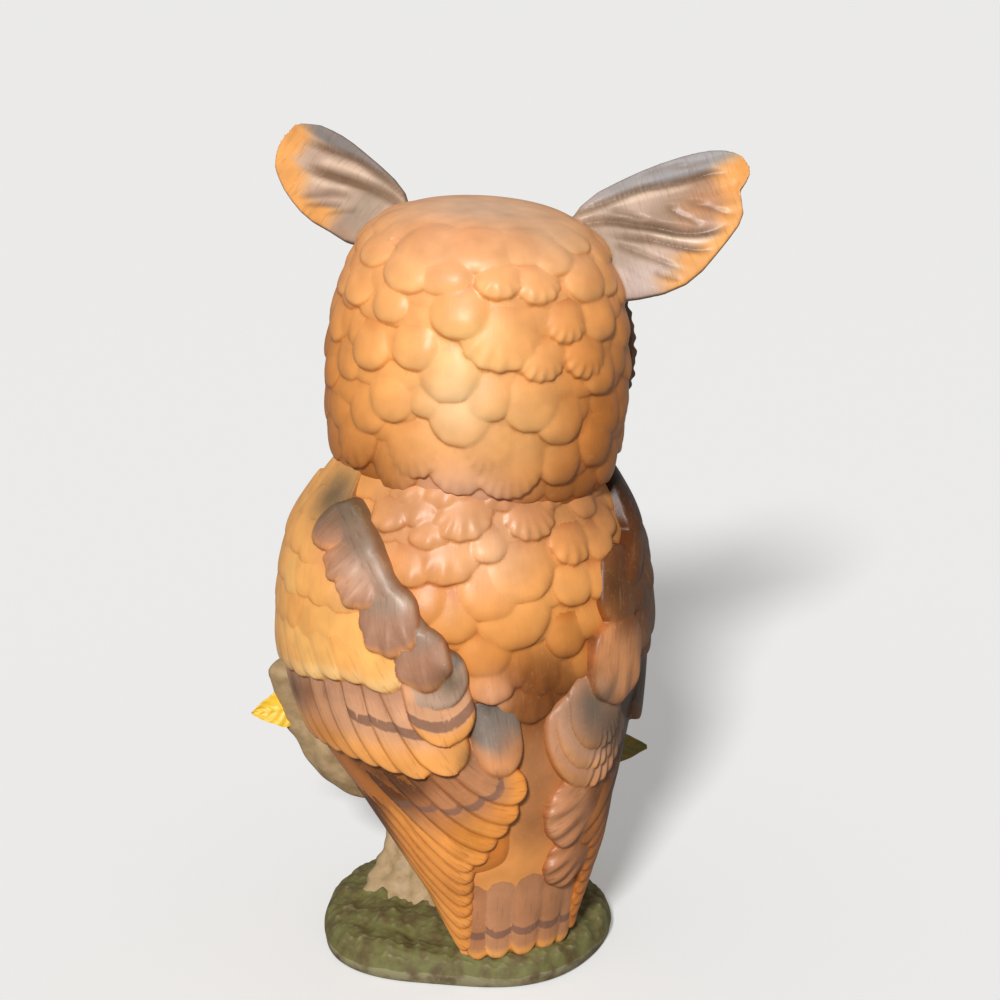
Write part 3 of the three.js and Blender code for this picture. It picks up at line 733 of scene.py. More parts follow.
class Tuft:
    def __init__(self, side):
        self.left = side == LEFT
        self.root = np.array([19.4 if self.left else -16.6, -7.5, 20])
        self.reach = np.array([20.6 * side, -13.7, 11.2 if self.left else 13.2])
        self.widthwise = np.array([7.7 * side, 6, -12])
        self.normal = unit(np.cross(self.reach, self.widthwise) * side)
        self.long, self.broad = np.linalg.norm(self.reach), np.linalg.norm(self.widthwise)

    def half(self, share, below):
        upper, lower = (LEFT_UPPER, LEFT_LOWER) if self.left else (RIGHT_UPPER, RIGHT_LOWER)
        lower, upper = (
            np.interp(np.clip(share, 0, 1), TUFT_STATIONS, edge) for edge in (lower, upper)
        )
        return np.where(below, lower, upper) * self.broad * (1 + 1.8 * np.minimum(share, 0))

    def carved(self, x, y):
        """How deep the grooves are at some spots, and how high the ridges are."""
        flat = np.stack([x.ravel(), y.ravel()], -1)
        groove, ridge = np.zeros(len(flat)), np.zeros(len(flat))
        t = np.linspace(0, 1, 48)
        for points, half, depth in LEFT_LINES if self.left else RIGHT_LINES:
            line = spline(points, t)
            away = np.sqrt(((flat[:, None] - line[None]) ** 2).sum(-1))
            fade = smooth(1, 0.75, t)
            if line[0, 0] >= 0:
                fade = smooth(0, 0.25, t) * fade
            mark = fade[away.argmin(1)] * np.exp(-((away.min(1) / half) ** 2))
            if depth > 0:
                groove = np.maximum(groove, depth * mark)
            else:
                ridge = np.maximum(ridge, -depth * mark)
        return groove.reshape(x.shape), ridge.reshape(x.shape)

    def shade(self, x, y):
        groove, ridge = self.carved(x, y)
        margin = np.minimum(self.half(x / self.long, y > 0) - np.abs(y), 1.2 * (self.long - x))
        top = smooth(0.3, -0.6, y + 6.7 - 0.2 * x)
        wander = 1.1 * np.cos(np.degrees(np.arctan2(y + 8, x + 8)) * 0.42)
        glow = smooth(5.0, 2.0, margin + wander) * smooth(5, 10, x) * (1 - top)
        glow = np.maximum(glow * smooth(-3, 0, y), smooth(20, 24, x) * smooth(-4, -1, y))
        if self.left:
            middle = [((190, 150, 126), 0.6 * smooth(2.5, 5, y) * smooth(16, 10, x))]
        else:
            middle = [
                ((150, 122, 100), 0.85 * smooth(5, 13, x) * np.exp(-(((y - 0.5) / 3.4) ** 2))),
                ((184, 126, 86), 0.9 * (smooth(10, 19, x) * np.exp(-(((y - 2.2) / 4.2) ** 2)))),
                ((208, 184, 174), 0.8 * smooth(1.5, 5, y - 0.5 * x)),
            ]
        return coated((170, 148, 130), [
            ((200, 168, 148), smooth(3, 11, x)),
            *middle,
            ((128, 120, 118) if self.left else (152, 148, 148), 0.9 * top),
            ((238, 162, 84), 0.9 * glow),
            # Grooves darker brown and ridges cream: the tuft's paint with painted shade and painted
            # highlight
            ((104, 78, 58), np.clip(0.85 * groove, 0, 0.8)),
            ((250, 222, 194), np.clip(1.1 * ridge, 0, 0.6) * (1 - 0.7 * glow)),
            # Dark brown on the very rim, where the edge turns away into shadow: painted shade
            ((74, 54, 40), 0.8 * smooth(0.25, -0.1, margin)),
        ])

    def build(self):
        share = np.concatenate([np.linspace(-0.3, 0.78, 66), np.linspace(0.78, 1, 34)[1:]])[:, None]
        across, rise = np.cos(circle(220)), np.sin(circle(220))
        y = across * self.half(share, across > 0)
        x = share * self.long + 0 * y
        groove, ridge = self.carved(x, y)
        fan = np.degrees(np.arctan2(y + 8, x + 8))
        strokes = 0.06 * np.cos(fan * 0.8 + 2 * np.sin(x / 3)) + 0.05 * np.cos(fan * 1.7)
        carving = (0.9 * ridge - 0.9 * groove + strokes * smooth(-1, 4, x)) * np.abs(rise) ** 0.3
        face = np.sign(rise) * np.abs(rise) ** 0.6
        thick = np.interp(share, [0, 1], [1.9, 0.8]) * np.sqrt(np.clip((1 - share) * 14, 0.03, 1))
        dish = -1.1 * (1 - across**2) * smooth(0, 0.5, share)
        points = (
            self.root
            + share[..., None] * self.reach
            + (y / self.broad)[..., None] * self.widthwise
            + (face * (thick + carving) + dish)[..., None] * self.normal
        )
        head_clay.tube(from_head(points), (x, y), painted(GREY_BROWN, streak=0.5, shade=self.shade))


# Face

DISC_ANGLE, DISC_LATITUDE, DISC_WIDE, DISC_TALL = 144.0, 8.0, 14.4, 13.5
EYE_ANGLE, EYE_LATITUDE = 156, 12
LEG_OUT, TOE_STEP = 7, 3.4


def disc_shade(turn, margin):
    return coated((236, 196, 142), [
        ((232, 160, 92), smooth(2, 6, margin)),
        ((244, 216, 172), smooth(8, 11, margin) * 0.8),
        ((62, 44, 32), smooth(2.6, 1.6, margin)),
        ((120, 78, 44), 0.35 * (np.cos(turn * 3.0) > 0.5) * smooth(2, 4, margin)),
    ])


def build_disc(side):
    turn = circle(144)
    r = np.concatenate([np.linspace(0.02, 1, 50), np.linspace(0.98, 0.05, 5)])[:, None]
    rim = 0.2 + 1.9 * smooth(0.5, 0.86, r) - 1.1 * smooth(0.88, 1.0, r)
    barbs = 0.2 * np.cos(36 * turn + 2 * r) * smooth(0.35, 0.55, r) + 0.12 * np.cos(24 * turn)
    barbs = barbs + 0.08 * np.cos(18 * turn) * smooth(0.8, 0.9, r)
    level = np.where(np.arange(55)[:, None] >= 50, -2.0, rim + barbs)
    patch = face_patch(side * DISC_ANGLE, DISC_LATITUDE)
    points = patch(DISC_WIDE * r * np.cos(turn), DISC_TALL * r * np.sin(turn), level)
    head_clay.tube(points, (turn * 6, (1 - r) * 14), painted(AMBER, streak=0.3, shade=disc_shade))


def build_eye(eyes, side):
    turn = circle(144)[..., None]
    socket = face_patch(side * EYE_ANGLE, EYE_LATITUDE)
    middle = socket(0, 0, -1.6)
    out = unit(socket(0, 0, 1.0) - middle)
    one = unit(np.cross(out, [0, 0, 1]))
    two = np.cross(out, one)
    tilt = np.radians(np.linspace(1, 179, 80))[:, None]
    ring = np.cos(turn) * one + np.sin(turn) * two
    ball = middle + EYE_RADIUS * (np.cos(tilt)[..., None] * out + np.sin(tilt)[..., None] * ring)
    eyes.tube(ball, (turn[..., 0] * 2, tilt * EYE_RADIUS), painted(EYE_YELLOW))
    lid = [middle + 2.9 * out + 3.95 * (math.cos(k / 4) * one + math.sin(k / 4) * two) for k in range(26)]
    rope(head_clay, lid, [0.8], 14, 110, painted(DARK_BROWN))


def build_face():
    eyes = Clay("owl_eyes")
    for side in (LEFT, RIGHT):
        build_disc(side)
        build_eye(eyes, side)
        for k in range(5):
            angle, latitude = 176 - 11 * k, 17 + 7.4 * k
            feather(
                head_clay, [(side * (angle + 6), latitude - 3), (side * (angle - 5), latitude + 2)], 6.4,
                painted(CREAM, tip=GREY_BROWN), lifts=(0.6, 2.8 - 0.4 * k), dome=0.8, rim=0.8, ribs=4,
            )
        for k in range(5):
            path = [(180 - side * (3 + 2 * k), 6 - 2 * k), (180 - side * (9 + 5 * k), -12 - 3.0 * k)]
            feather(head_clay, path, 4.4, painted(CREAM), lifts=(0.4, 1.9), dome=0.5, ribs=3, rib=0.12)
    for row, latitude in enumerate((-20, -30, -39)):
        courses(
            head_clay, [latitude], 9, 15, 180 + 7.5 * (row % 2), 16, 7.4, painted(AMBER, tip=CREAM),
            lifts=(-0.5, 1.2 + 0.3 * row), dome=0.5, ribs=4, rib=0.12,
        )
    for angle, latitude in [(180, 56), (165, 47), (-165, 47), (140, 52), (-140, 52)]:
        feather(
            head_clay, [(angle, latitude + 12), (angle, latitude)], 8, painted(AMBER),
            lifts=(-0.9, 0.5), dome=0.4, rim=0.5, soft=2.4,
        )
    return eyes


def build_breast():
    paint = painted(CREAM, tip=AMBER, tip_at=1.2, bar=(2.6, 0.5))
    courses(
        body_clay, np.arange(77, 36, -4.6), 8, 14.5, 180, 7.4, 7.4, paint, reach=56,
        lifts=(-0.6, 1.4), dome=0.5, rim=0.6, ribs=4, rib=0.14,
    )


def build_legs():
    claws = Clay("owl_claws")
    for side in (LEFT, RIGHT):
        out = LEG_OUT * side
        rope(
            body_clay, [(out, -7, 40), (out, -11, 33), (out, -15.5, 27)], [9, 7.6, 4.6], 48, 50,
            painted(CREAM, tip=AMBER), rough=0.06, size=2.5, seed=11,
        )
        for k in (-1, 0, 1):
            x = out + TOE_STEP * k
            tip = x + 0.3 * k
            rope(
                body_clay, [(x - 0.8 * k, -16, 27.6), (x, -20, 27.2), (tip, -22.2, 24.4)],
                [1.9, 2.0, 1.4], 18, 24, painted(CREAM), rough=0.06, size=1.6, seed=5,
            )
            claw = [(tip, -22.0, 25), (tip, -22.9, 22.6), (tip, -21.9, 20.2)]
            rope(claws, claw, [1.1, 0.95, 0.3], 14, 18, painted(HORN_GREY))
    beak = [(18, 0.2), (10, 2.2), (2, 3.4), (-6, 2.8), (-10, 1.4)]
    path = [head(180, latitude, lift) for latitude, lift in beak]
    rope(claws, path, [2.9, 3.0, 2.7, 1.8, 0.6], 36, 48, painted(HORN_GREY))
    return claws


# The limb with its leaves, the trunk and the base

LIMB_PATH = [
    (-24, -12.8, 20), (-10, -15.5, 22), (5, -16.5, 22), (14, -17.5, 25), (19.3, -19.5, 31),
    (22.3, -20.3, 37), (24.5, -20, 44.5),
]
LIMB_RADII = [3.6, 4.6, 5, 4.4, 3.4, 2.8, 2.6]
LEAVES = [
    ((19, -20.5, 36), (29.5, -21.7, 35.2), 6.2, (0, 1, 0.3), YELLOW_LEAF),
    ((16, -20, 30), (11, -27, 21), 7.5, (1, -1, 0), GREEN_LEAF),
    ((-21, -13, 22), (-37, -6, 23), 8, (0, 1, 1), GREEN_LEAF),
    ((-19, -15, 21), (-26, -20, 12), 7.5, (-1, -1, 0), YELLOW_LEAF),
]


def build_limb():
    bark = painted(BARK, streak=0.8)
    rope(perch_clay, LIMB_PATH, LIMB_RADII, 60, 200, bark, rough=0.09, size=3.4, seed=3)
    turn = circle(110)
    share = np.linspace(0, 1, 70)[:, None]
    radius = np.interp(share, [0, 0.17, 0.33, 0.5, 0.67, 0.95, 1], [16.5, 13.6, 11, 9, 8.6, 8.4, 5])
    radius = radius * (1 + 0.09 * np.cos(5 * turn + 2 * share) + 0.03 * np.cos(17 * turn + 5 * share))
    points = stacked(radius * np.cos(turn), -6 - 6 * share + radius * np.sin(turn), 2.4 + 22 * share)
    middle = points.mean(1, keepdims=True)
    points = middle + (points - middle) * (1 + 0.03 * ripple(points, 4, 21))[..., None]
    perch_clay.tube(points, (radius * turn, 24 * share), bark)


def build_leaves():
    leaves = Clay("owl_leaves")
    t = np.linspace(0, 1, 90)[:, None]
    s = crowded(51)
    for stalk, point, wide, facing, colour in LEAVES:
        along = np.subtract(point, stalk, dtype=float)
        across = unit(np.cross(along, facing))
        normal = unit(np.cross(across, along))
        half = wide / 2 * np.sin(math.pi * t**0.75) ** 0.9 + 0.25
        half = half * (1 + 0.04 * np.cos(2 * math.pi * 3.5 * t) * smooth(0, 0.2, t) * smooth(0, 0.2, 1 - t))
        vein = 0.3 * np.exp(-((s * half / 0.4) ** 2))
        vein = vein + 0.1 * np.cos(2 * math.pi * (7 * t - 1.6 * np.abs(s)))
        bend = np.sin(3 * t) + 0.5 * s**2 + 0.15 * np.sin(5 * t + 2 * s)
        thick = 0.8 * np.sqrt(np.clip(1 - np.abs(s) ** 4, 0.08, 1))
        centre = stalk + t[..., None] * along + (s * half)[..., None] * across
        top = centre + (bend + thick / 2 + vein * 0.6)[..., None] * normal
        bottom = centre + (bend - thick / 2)[..., None] * normal
        leaves.slab(top, bottom, (s * half, (1 - t) * np.linalg.norm(along)), painted(colour))
    return leaves


def build_base():
    base = Clay("owl_base")
    turn = circle(300)
    rise = np.sin(np.linspace(0, 1, 24)[1:] * math.pi / 2)
    rim = np.concatenate([np.linspace(0.02, 0.86, 60), 0.86 + 0.14 * rise, [0.99, 0.97]])
    level = np.interp(rim[:-2], [0, 0.45, 0.86, 0.93, 0.97, 1], [1, 0.95, 0.76, 0.66, 0.54, 0.28])
    level = np.concatenate([level, [0.05, 0.0]]) * BASE_HEIGHT
    radius = rim[:, None] * (BASE_RADIUS + 0.9 * np.cos(3 * turn) + 0.6 * np.sin(5 * turn))
    points = stacked(radius * np.cos(turn), radius * np.sin(turn), level[:, None])
    bump = 0.4 * ripple(points, 8, 31) + 0.22 * ripple(points, 3, 32) + 0.08 * ripple(points, 1.3, 33)
    points[..., 2] += bump * smooth(0.6, 3.5, points[..., 2])
    base.tube(points, (radius * turn, 24 - radius), painted(MOSS_GREEN, streak=0.3))
    return base


build_bodies()
build_head_feathers()
build_mantle()
for side in (LEFT, RIGHT):
    build_wing_body(side)
    Tuft(side).build()
build_left_wing()
build_right_wing()
build_tail()
build_breast()
build_limb()

# Airbrushed areas of each piece, and painted light among them: the pale spots round the head's
# middle and the cream dabs along the left wing's scapular ridge are painted highlights, and the dark
# sprays low on the head's sides, under the left wing's secondaries, along the right wing's inner edge
# and in its grooves are painted shade. Each is an angle, height, lift, radius, colour and strength

SPRAYS_AND_PAINTED_LIGHT = {
    "owl_head": [
        (0, 86, 0, 15, (244, 202, 170), 0.85), (-6, 63, 0.5, 3.6, (246, 158, 90), 0.6),
        (26, 60, 0.5, 3.4, (246, 158, 90), 0.55), (-40, 62, 0.5, 3.8, (244, 154, 86), 0.55),
        # Pale yellow spots round the middle of the head: painted highlights
        (-12, 6, 1, 13, (255, 204, 138), 0.4), (-7, 4, 2, 5.5, (255, 228, 184), 0.5),
        (-10, 24, 2, 6, (255, 214, 140), 0.4), (-38, -8, 2, 6, (255, 202, 132), 0.4),
        (-60, 62, 1, 7, (214, 176, 140), 0.6), (10, 60, 1, 6, (232, 168, 122), 0.5),
        (0, -34, 2, 4.6, (234, 182, 158), 0.8), (-22, -34, 2, 4.6, (234, 182, 158), 0.75),
        (-10, -30, 2, 5.4, (242, 190, 158), 0.6), (31, -31, 2, 6, (150, 84, 30), 0.7),
        (-40, -36, 2, 5, (190, 122, 74), 0.5), (24, 8, 1, 9, (255, 184, 112), 0.5),
        # The dark browns low on the head's sides: painted shade
        (40, -36, 2, 12.5, (142, 76, 24), 0.85), (-66, -32, 2, 11, (146, 82, 28), 0.85),
        (50, 0, 1, 12, (250, 168, 84), 0.6), (-76, -4, 1, 14, (180, 102, 28), 0.75),
        (76, -6, 1, 14, (190, 108, 34), 0.75),
    ],
    "owl_body": [
        (4, 82, 1, 9, (174, 116, 88), 0.75), (14, 74, 1, 6, (255, 204, 160), 0.6),
        (44, 79, 1, 9, (190, 134, 100), 0.75), (-34, 79, 1, 10, (172, 112, 72), 0.75),
        (12, 57, 1, 7, (224, 142, 62), 0.5), (24, 58, 1, 6, (214, 132, 60), 0.45),
        (-20, 58, 1, 8, (200, 122, 44), 0.6), (4, 53.5, 1, 6, (168, 98, 42), 0.75),
        (-6, 50.5, 1, 7.5, (108, 54, 12), 0.92), (8, 52, 1, 4.5, (150, 84, 30), 0.7),
        (0, 46.5, 1, 5, (120, 64, 20), 0.85), (-1, 39, 0, 6, (170, 116, 78), 0.85),
        (0, 31, 0, 7, (160, 104, 64), 0.85), (14.6, 52, 1.5, 3.4, (232, 168, 126), 0.8),
        # The dark brown along the right wing's inner edge: painted shade
        (38, 70, 1, 7, (216, 140, 88), 0.45), (-50, 68, 1, 3.4, (96, 52, 20), 0.8),
    ],
    "owl_wings": [
        (26.4, 55.4, 4, 2.6, (70, 62, 42), 0.95), (56, 74.4, 3, 3, (128, 108, 90), 0.7),
        # Cream dabs along the scapular ridge: painted highlights
        (47.6, 72.4, 4, 1.3, (238, 210, 186), 0.4), (39.6, 67.6, 4, 1.6, (238, 212, 188), 0.4),
        (28, 60, 4, 1.5, (232, 202, 176), 0.35), (34, 57.4, 4, 3, (160, 108, 80), 0.6),
        (57, 71, 4, 3.2, (214, 180, 160), 0.6), (82, 80, 2, 6, (96, 84, 68), 0.9),
        (66, 79, 2, 3.4, (112, 98, 80), 0.85), (72, 72, 3, 3, (222, 150, 104), 0.5),
        (60, 68.5, 3, 3.4, (226, 164, 122), 0.45), (15, 51.2, 2, 1.7, (26, 22, 20), 0.95),
        (23.5, 42.5, 2, 2.2, (70, 60, 52), 0.6), (7, 43, 2, 3, (206, 138, 88), 0.7),
        (92, 47.6, 1.4, 4.4, (84, 50, 30), 0.92), (80, 49, 1.4, 2.6, (112, 68, 46), 0.8),
        (70, 50, 1.4, 2.2, (140, 96, 74), 0.6), (78, 43, 2, 5, (190, 112, 44), 0.55),
        # Dark browns under the secondaries' tips: painted shade
        (68, 39, 1, 2.6, (92, 56, 34), 0.85), (60, 37.6, 1, 2.8, (86, 54, 34), 0.85),
        (52, 36.6, 1, 2.8, (92, 56, 34), 0.8), (45, 36.4, 1, 2.2, (112, 70, 42), 0.6),
        (30, 29, 1, 3.2, (196, 124, 34), 0.6), (5, 37.5, 1, 2.6, (222, 140, 50), 0.6),
        (-66, 76, 3, 9, (50, 32, 20), 0.92), (-42, 67, 3, 6.5, (108, 62, 26), 0.85),
        (-60, 62, 3, 6, (108, 68, 36), 0.8), (-56, 53, 3, 5, (110, 76, 48), 0.75),
        # Dark browns in the right wing's grooves: painted shade
        (-27, 53, 3, 4.8, (236, 160, 104), 0.8), (-20, 58.5, 1, 2.4, (112, 60, 24), 0.8),
        (-19, 54, 1, 2.2, (124, 68, 30), 0.75), (-34, 61.5, 3, 3, (124, 76, 40), 0.7),
        (-30, 65.5, 1, 2.4, (92, 52, 22), 0.85), (-62, 80, 2, 5, (40, 28, 22), 0.95),
        (-43, 55.4, 3, 2.8, (134, 96, 66), 0.7), (-20, 47.6, 3, 5, (116, 104, 92), 0.95),
        (-27, 43, 3, 4, (108, 92, 78), 0.85), (-36, 42, 2, 4, (104, 78, 60), 0.75),
        (-56, 44, 2, 6.5, (48, 32, 22), 0.95), (-47, 44.6, 2, 3.6, (70, 50, 36), 0.9),
        (-56, 36, 1, 5.5, (58, 38, 26), 0.9), (-52, 28, 1, 5, (96, 58, 32), 0.8),
        (-32, 24, 1, 6, (150, 92, 52), 0.6),
    ],
}
BRUSH_TINTS = np.array([0.03, 0.055, 0.09])
# How much of each colour the hollows lose to brown stain and painted shade
HOLLOW_STAIN_AND_SHADE = np.array([0.44, 0.62, 0.8])
# How much of each colour the rims lose, to pooled glaze and painted shade
RIM_STAIN_AND_SHADE = np.array([0.16, 0.32, 0.5])
# The pale colour that ridges take: worn paint and a painted highlight
RIDGE_WEAR_AND_HIGHLIGHT = np.array([0.95, 0.78, 0.6])


# The skin of each piece

MOST_TRIANGLES = 190_000
CARRY_LIMITS = (-2, 3)
# Rounds of smoothing: over the raw skin, and to find the fine and the broad hollows
SKIN_ROUNDS, FINE_ROUNDS, BROAD_ROUNDS = 2, 4, 40


def placed(name, data):
    obj = bpy.data.objects.new(name, data)
    bpy.context.scene.collection.objects.link(obj)
    return obj


def modify(obj, kind, **settings):
    modifier = obj.modifiers.new(kind.lower(), kind)
    for field, value in settings.items():
        setattr(modifier, field, value)


def evaluated(obj):
    """The object's mesh with its modifiers applied, which are then taken off it."""
    mesh = bpy.data.meshes.new_from_object(obj.evaluated_get(bpy.context.evaluated_depsgraph_get()))
    obj.modifiers.clear()
    return mesh


def apply_all(obj):
    old, obj.data = obj.data, evaluated(obj)
    bpy.data.meshes.remove(old)


def read(collection, field, kind, width):
    out = np.empty(len(collection) * width, kind)
    collection.foreach_get(field, out)
    return out.reshape(-1, width)


def spots(mesh):
    return read(mesh.vertices, "co", np.float32, 3).astype(float)


def relaxed(obj, rounds):
    """Where the surface would be if it were smoothed for some rounds."""
    modify(obj, "SMOOTH", factor=0.5, iterations=rounds)
    mesh = evaluated(obj)
    points = spots(mesh)
    bpy.data.meshes.remove(mesh)
    return points


def linear(colour):
    c = np.asarray(colour, float) / 255
    return np.where(c <= 0.04045, c / 12.92, ((c + 0.055) / 1.055) ** 2.4)


def carried_marks(triangle, marks, corners, points):
    """The marks at each face corner, carried on in the plane of the clay below the face."""
    sides = triangle[:, 1:] - triangle[:, :1]
    (d11, d12), (_, d22) = np.einsum("fik,fjk->ijf", sides, sides)[..., None]
    p1, p2 = np.einsum("fik,fck->ifc", sides, points[corners] - triangle[:, :1])
    scale = np.maximum(d11 * d22 - d12 * d12, 1e-9)
    w1 = np.clip((d22 * p1 - d12 * p2) / scale, *CARRY_LIMITS)[..., None]
    w2 = np.clip((d11 * p2 - d12 * p1) / scale, *CARRY_LIMITS)[..., None]
    start, first, second = (marks[:, None, k] for k in range(3))
    return start + w1 * (first - start) + w2 * (second - start)


def painted_sprays_and_light(clay, points):
    """The sprays' colour at each point, airbrushed paint and painted highlights and shade, and how
    much of the paint below they cover.
    """
    colour, share = np.zeros((len(points), 3)), np.zeros(len(points))
    for angle, height, lift, radius, tone, strength in SPRAYS_AND_PAINTED_LIGHT.get(clay.name, []):
        away = points - clay.surface(angle, height, lift)
        near = strength * np.exp(-(away**2).sum(1) / radius**2)
        colour = colour * (1 - near[:, None]) + linear(tone) * near[:, None]
        share = share * (1 - near) + near
    return colour, share


def dress(clay, material, voxel=0, most=MOST_TRIANGLES, stain_and_painted_light=1):
    """The clay's object: its shapes as they are, or under one skin with a voxel size and at
    most so many triangles. Its last weight sets how much stain and painted shade settle in its
    hollows, how much painted shade and pooled glaze darken its shapes' rims, and how much its
    ridges are worn pale with a painted highlight."""
    clay_points, clay_faces = np.concatenate(clay.points), np.concatenate(clay.faces)
    obj = placed(clay.name, bpy.data.meshes.new(clay.name))
    obj.data.from_pydata(clay_points, [], clay_faces.tolist())
    if voxel:
        modify(obj, "REMESH", mode="VOXEL", voxel_size=voxel * 1)
        modify(obj, "SMOOTH", factor=0.5, iterations=SKIN_ROUNDS)
        apply_all(obj)
        modify(obj, "DECIMATE", ratio=min(1.0, most / (2 * len(obj.data.polygons))))
        modify(obj, "TRIANGULATE")
        apply_all(obj)
    skin = obj.data
    points = spots(skin)
    corners = read(skin.loops, "vertex_index", np.int32, 1).reshape(-1, 3)
    nearest = np.arange(len(clay_faces))
    if voxel:
        tree = BVHTree.FromPolygons(clay_points.tolist(), clay_faces.tolist(), all_triangles=True)
        nearest = np.array([tree.find_nearest(p)[2] for p in points[corners].mean(1).tolist()])
    owner = np.concatenate(clay.owner)[nearest]
    below = clay_faces[nearest]
    marks = carried_marks(clay_points[below], np.concatenate(clay.marks)[below], corners, points)
    across, from_tip, margin = np.moveaxis(marks, -1, 0)

    def of(field):
        """A value of the paint of the shape that each face came from."""
        return np.array([paint[field] for paint in clay.paints], float)[owner][:, None]

    colour = linear(of("body")) + 0 * from_tip[..., None]
    colour = blend(colour, linear(of("tip")), 1 - smooth(0.35, 1.0, from_tip / of("tip_at")))
    colour = blend(colour, linear(of("root")), smooth(0.75, 1.15, from_tip / of("root_at")))
    for number, paint in enumerate(clay.paints):
        if paint["shade"]:
            mine = owner == number
            colour[mine] = linear(paint["shade"](across[mine], from_tip[mine]))
    tints = np.random.default_rng(SEED + 5).normal(size=(len(clay.paints), 1))
    colour = colour * (1 + tints * BRUSH_TINTS)[owner][:, None]
    bar = of("bar")[..., 1] - np.abs(from_tip - of("bar")[..., 0])

    normals = read(skin.vertex_normals, "vector", np.float32, 3)
    fine, broad = (
        ((relaxed(obj, rounds) - points) * normals).sum(1) for rounds in (FINE_ROUNDS, BROAD_ROUNDS)
    )
    # Hollows take a brown stain and painted shade, darker the deeper they lie
    hollow = np.clip(smooth(0.015, 0.13, fine) + 0.8 * smooth(0.08, 0.6, broad), 0, 1) * stain_and_painted_light
    # Ridges are paled: worn paint and a painted highlight
    ridge = smooth(0.02, 0.1, -fine) * stain_and_painted_light
    # Each shape's rim is darkened: pooled glaze and painted shade
    rim = stain_and_painted_light * smooth(0.65, 0.1, margin)[..., None] * RIM_STAIN_AND_SHADE
    spray_and_light, share = painted_sprays_and_light(clay, points)
    # Airbrushed colour, painted highlights and painted shade cover the paint below
    colour = colour * (1 - share[corners])[..., None] + spray_and_light[corners]
    colour = colour * (1 - hollow[:, None] * HOLLOW_STAIN_AND_SHADE)[corners] * (1 - rim)
    colour = np.clip(blend(colour, RIDGE_WEAR_AND_HIGHLIGHT, 0.3 * ridge[corners]), 0, 1)

    streak = of("streak") + 0 * across
    strokes = stacked(across, from_tip, bar, 1.0)
    for name, values in (("paint", np.dstack([colour, streak])), ("strokes", strokes)):
        layer = skin.color_attributes.new(name, "FLOAT_COLOR", "CORNER")
        layer.data.foreach_set("color", values.astype(np.float32).ravel())
    skin.transform(Matrix.Scale(MM, 4))
    skin.polygons.foreach_set("use_smooth", np.ones(len(skin.polygons), bool))
    skin.materials.append(material)
    skin.update()
    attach(obj, "root")
    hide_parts("owl_figurine")


# Materials

def set_inputs(node, **values):
    for name, value in values.items():
        node.inputs[name.replace("_", " ")].default_value = value


class Nodes:
    def __init__(self, name, specular, glaze=0):
        self.material = bpy.data.materials.new(name)
        self.material.use_nodes = True
        self.tree = self.material.node_tree
        self.shader = self.tree.nodes["Principled BSDF"]
        set_inputs(self.shader, Specular_IOR_Level=specular, Coat_Weight=glaze, Coat_Roughness=0.32)

    def add(self, kind, settings=(), **inputs):
        node = self.tree.nodes.new(kind)
        for field, value in dict(settings).items():
            setattr(node, field, value)
        for name, value in inputs.items():
            self.feed(node.inputs[name.replace("_", " ")], value)
        return node.outputs

    def feed(self, socket, value):
        if isinstance(value, bpy.types.NodeSocket):
            self.tree.links.new(value, socket)
        else:
            socket.default_value = value

    def math(self, operation, *values):
        node = self.tree.nodes.new("ShaderNodeMath")
        node.operation = operation
        for socket, value in zip(node.inputs, values):
            self.feed(socket, value)
        return node.outputs[0]

    def times(self, first, second):
        return self.math("MULTIPLY", first, second)

    def plus(self, first, second):
        return self.math("ADD", first, second)

    def mix(self, share, first, second, how="MIX"):
        node = self.tree.nodes.new("ShaderNodeMix")
        node.data_type = "RGBA"
        node.blend_type = how
        for place, value in ((0, share), (6, first), (7, second)):
            self.feed(node.inputs[place], value)
        return node.outputs[2]

    def noise(self, size_mm, vector, detail=2):
        return self.add("ShaderNodeTexNoise", Vector=vector, Scale=1 / size_mm, Detail=detail)["Fac"]

    def levels(self, value, low, high, to_low=0, to_high=1):
        return self.add(
            "ShaderNodeMapRange", Value=value, From_Min=low, From_Max=high, To_Min=to_low, To_Max=to_high
        )[0]

    def layer(self, name):
        return self.add("ShaderNodeAttribute", {"attribute_name": name})

    def strokes(self):
        """How far across its feather a spot is, how far from the tip and how far into a bar."""
        return self.add("ShaderNodeSeparateXYZ", Vector=self.layer("strokes")["Vector"])

    def place(self):
        """Where a spot is on the piece, in millimetres."""
        spot = self.add("ShaderNodeTexCoord")["Object"]
        return self.add("ShaderNodeVectorMath", {"operation": "SCALE"}, Vector=spot, Scale=1 / MM)[0]

    def finished(self, colour, roughness, height=None, distance=0, strength=0.6):
        self.feed(self.shader.inputs["Base Color"], colour)
        self.feed(self.shader.inputs["Roughness"], roughness)
        if height is not None:
            bump = self.add("ShaderNodeBump", Height=height, Distance=distance, Strength=strength)
            self.feed(self.shader.inputs["Normal"], bump[0])
        return self.material


def tone(colour):
    return (*linear(colour), 1)


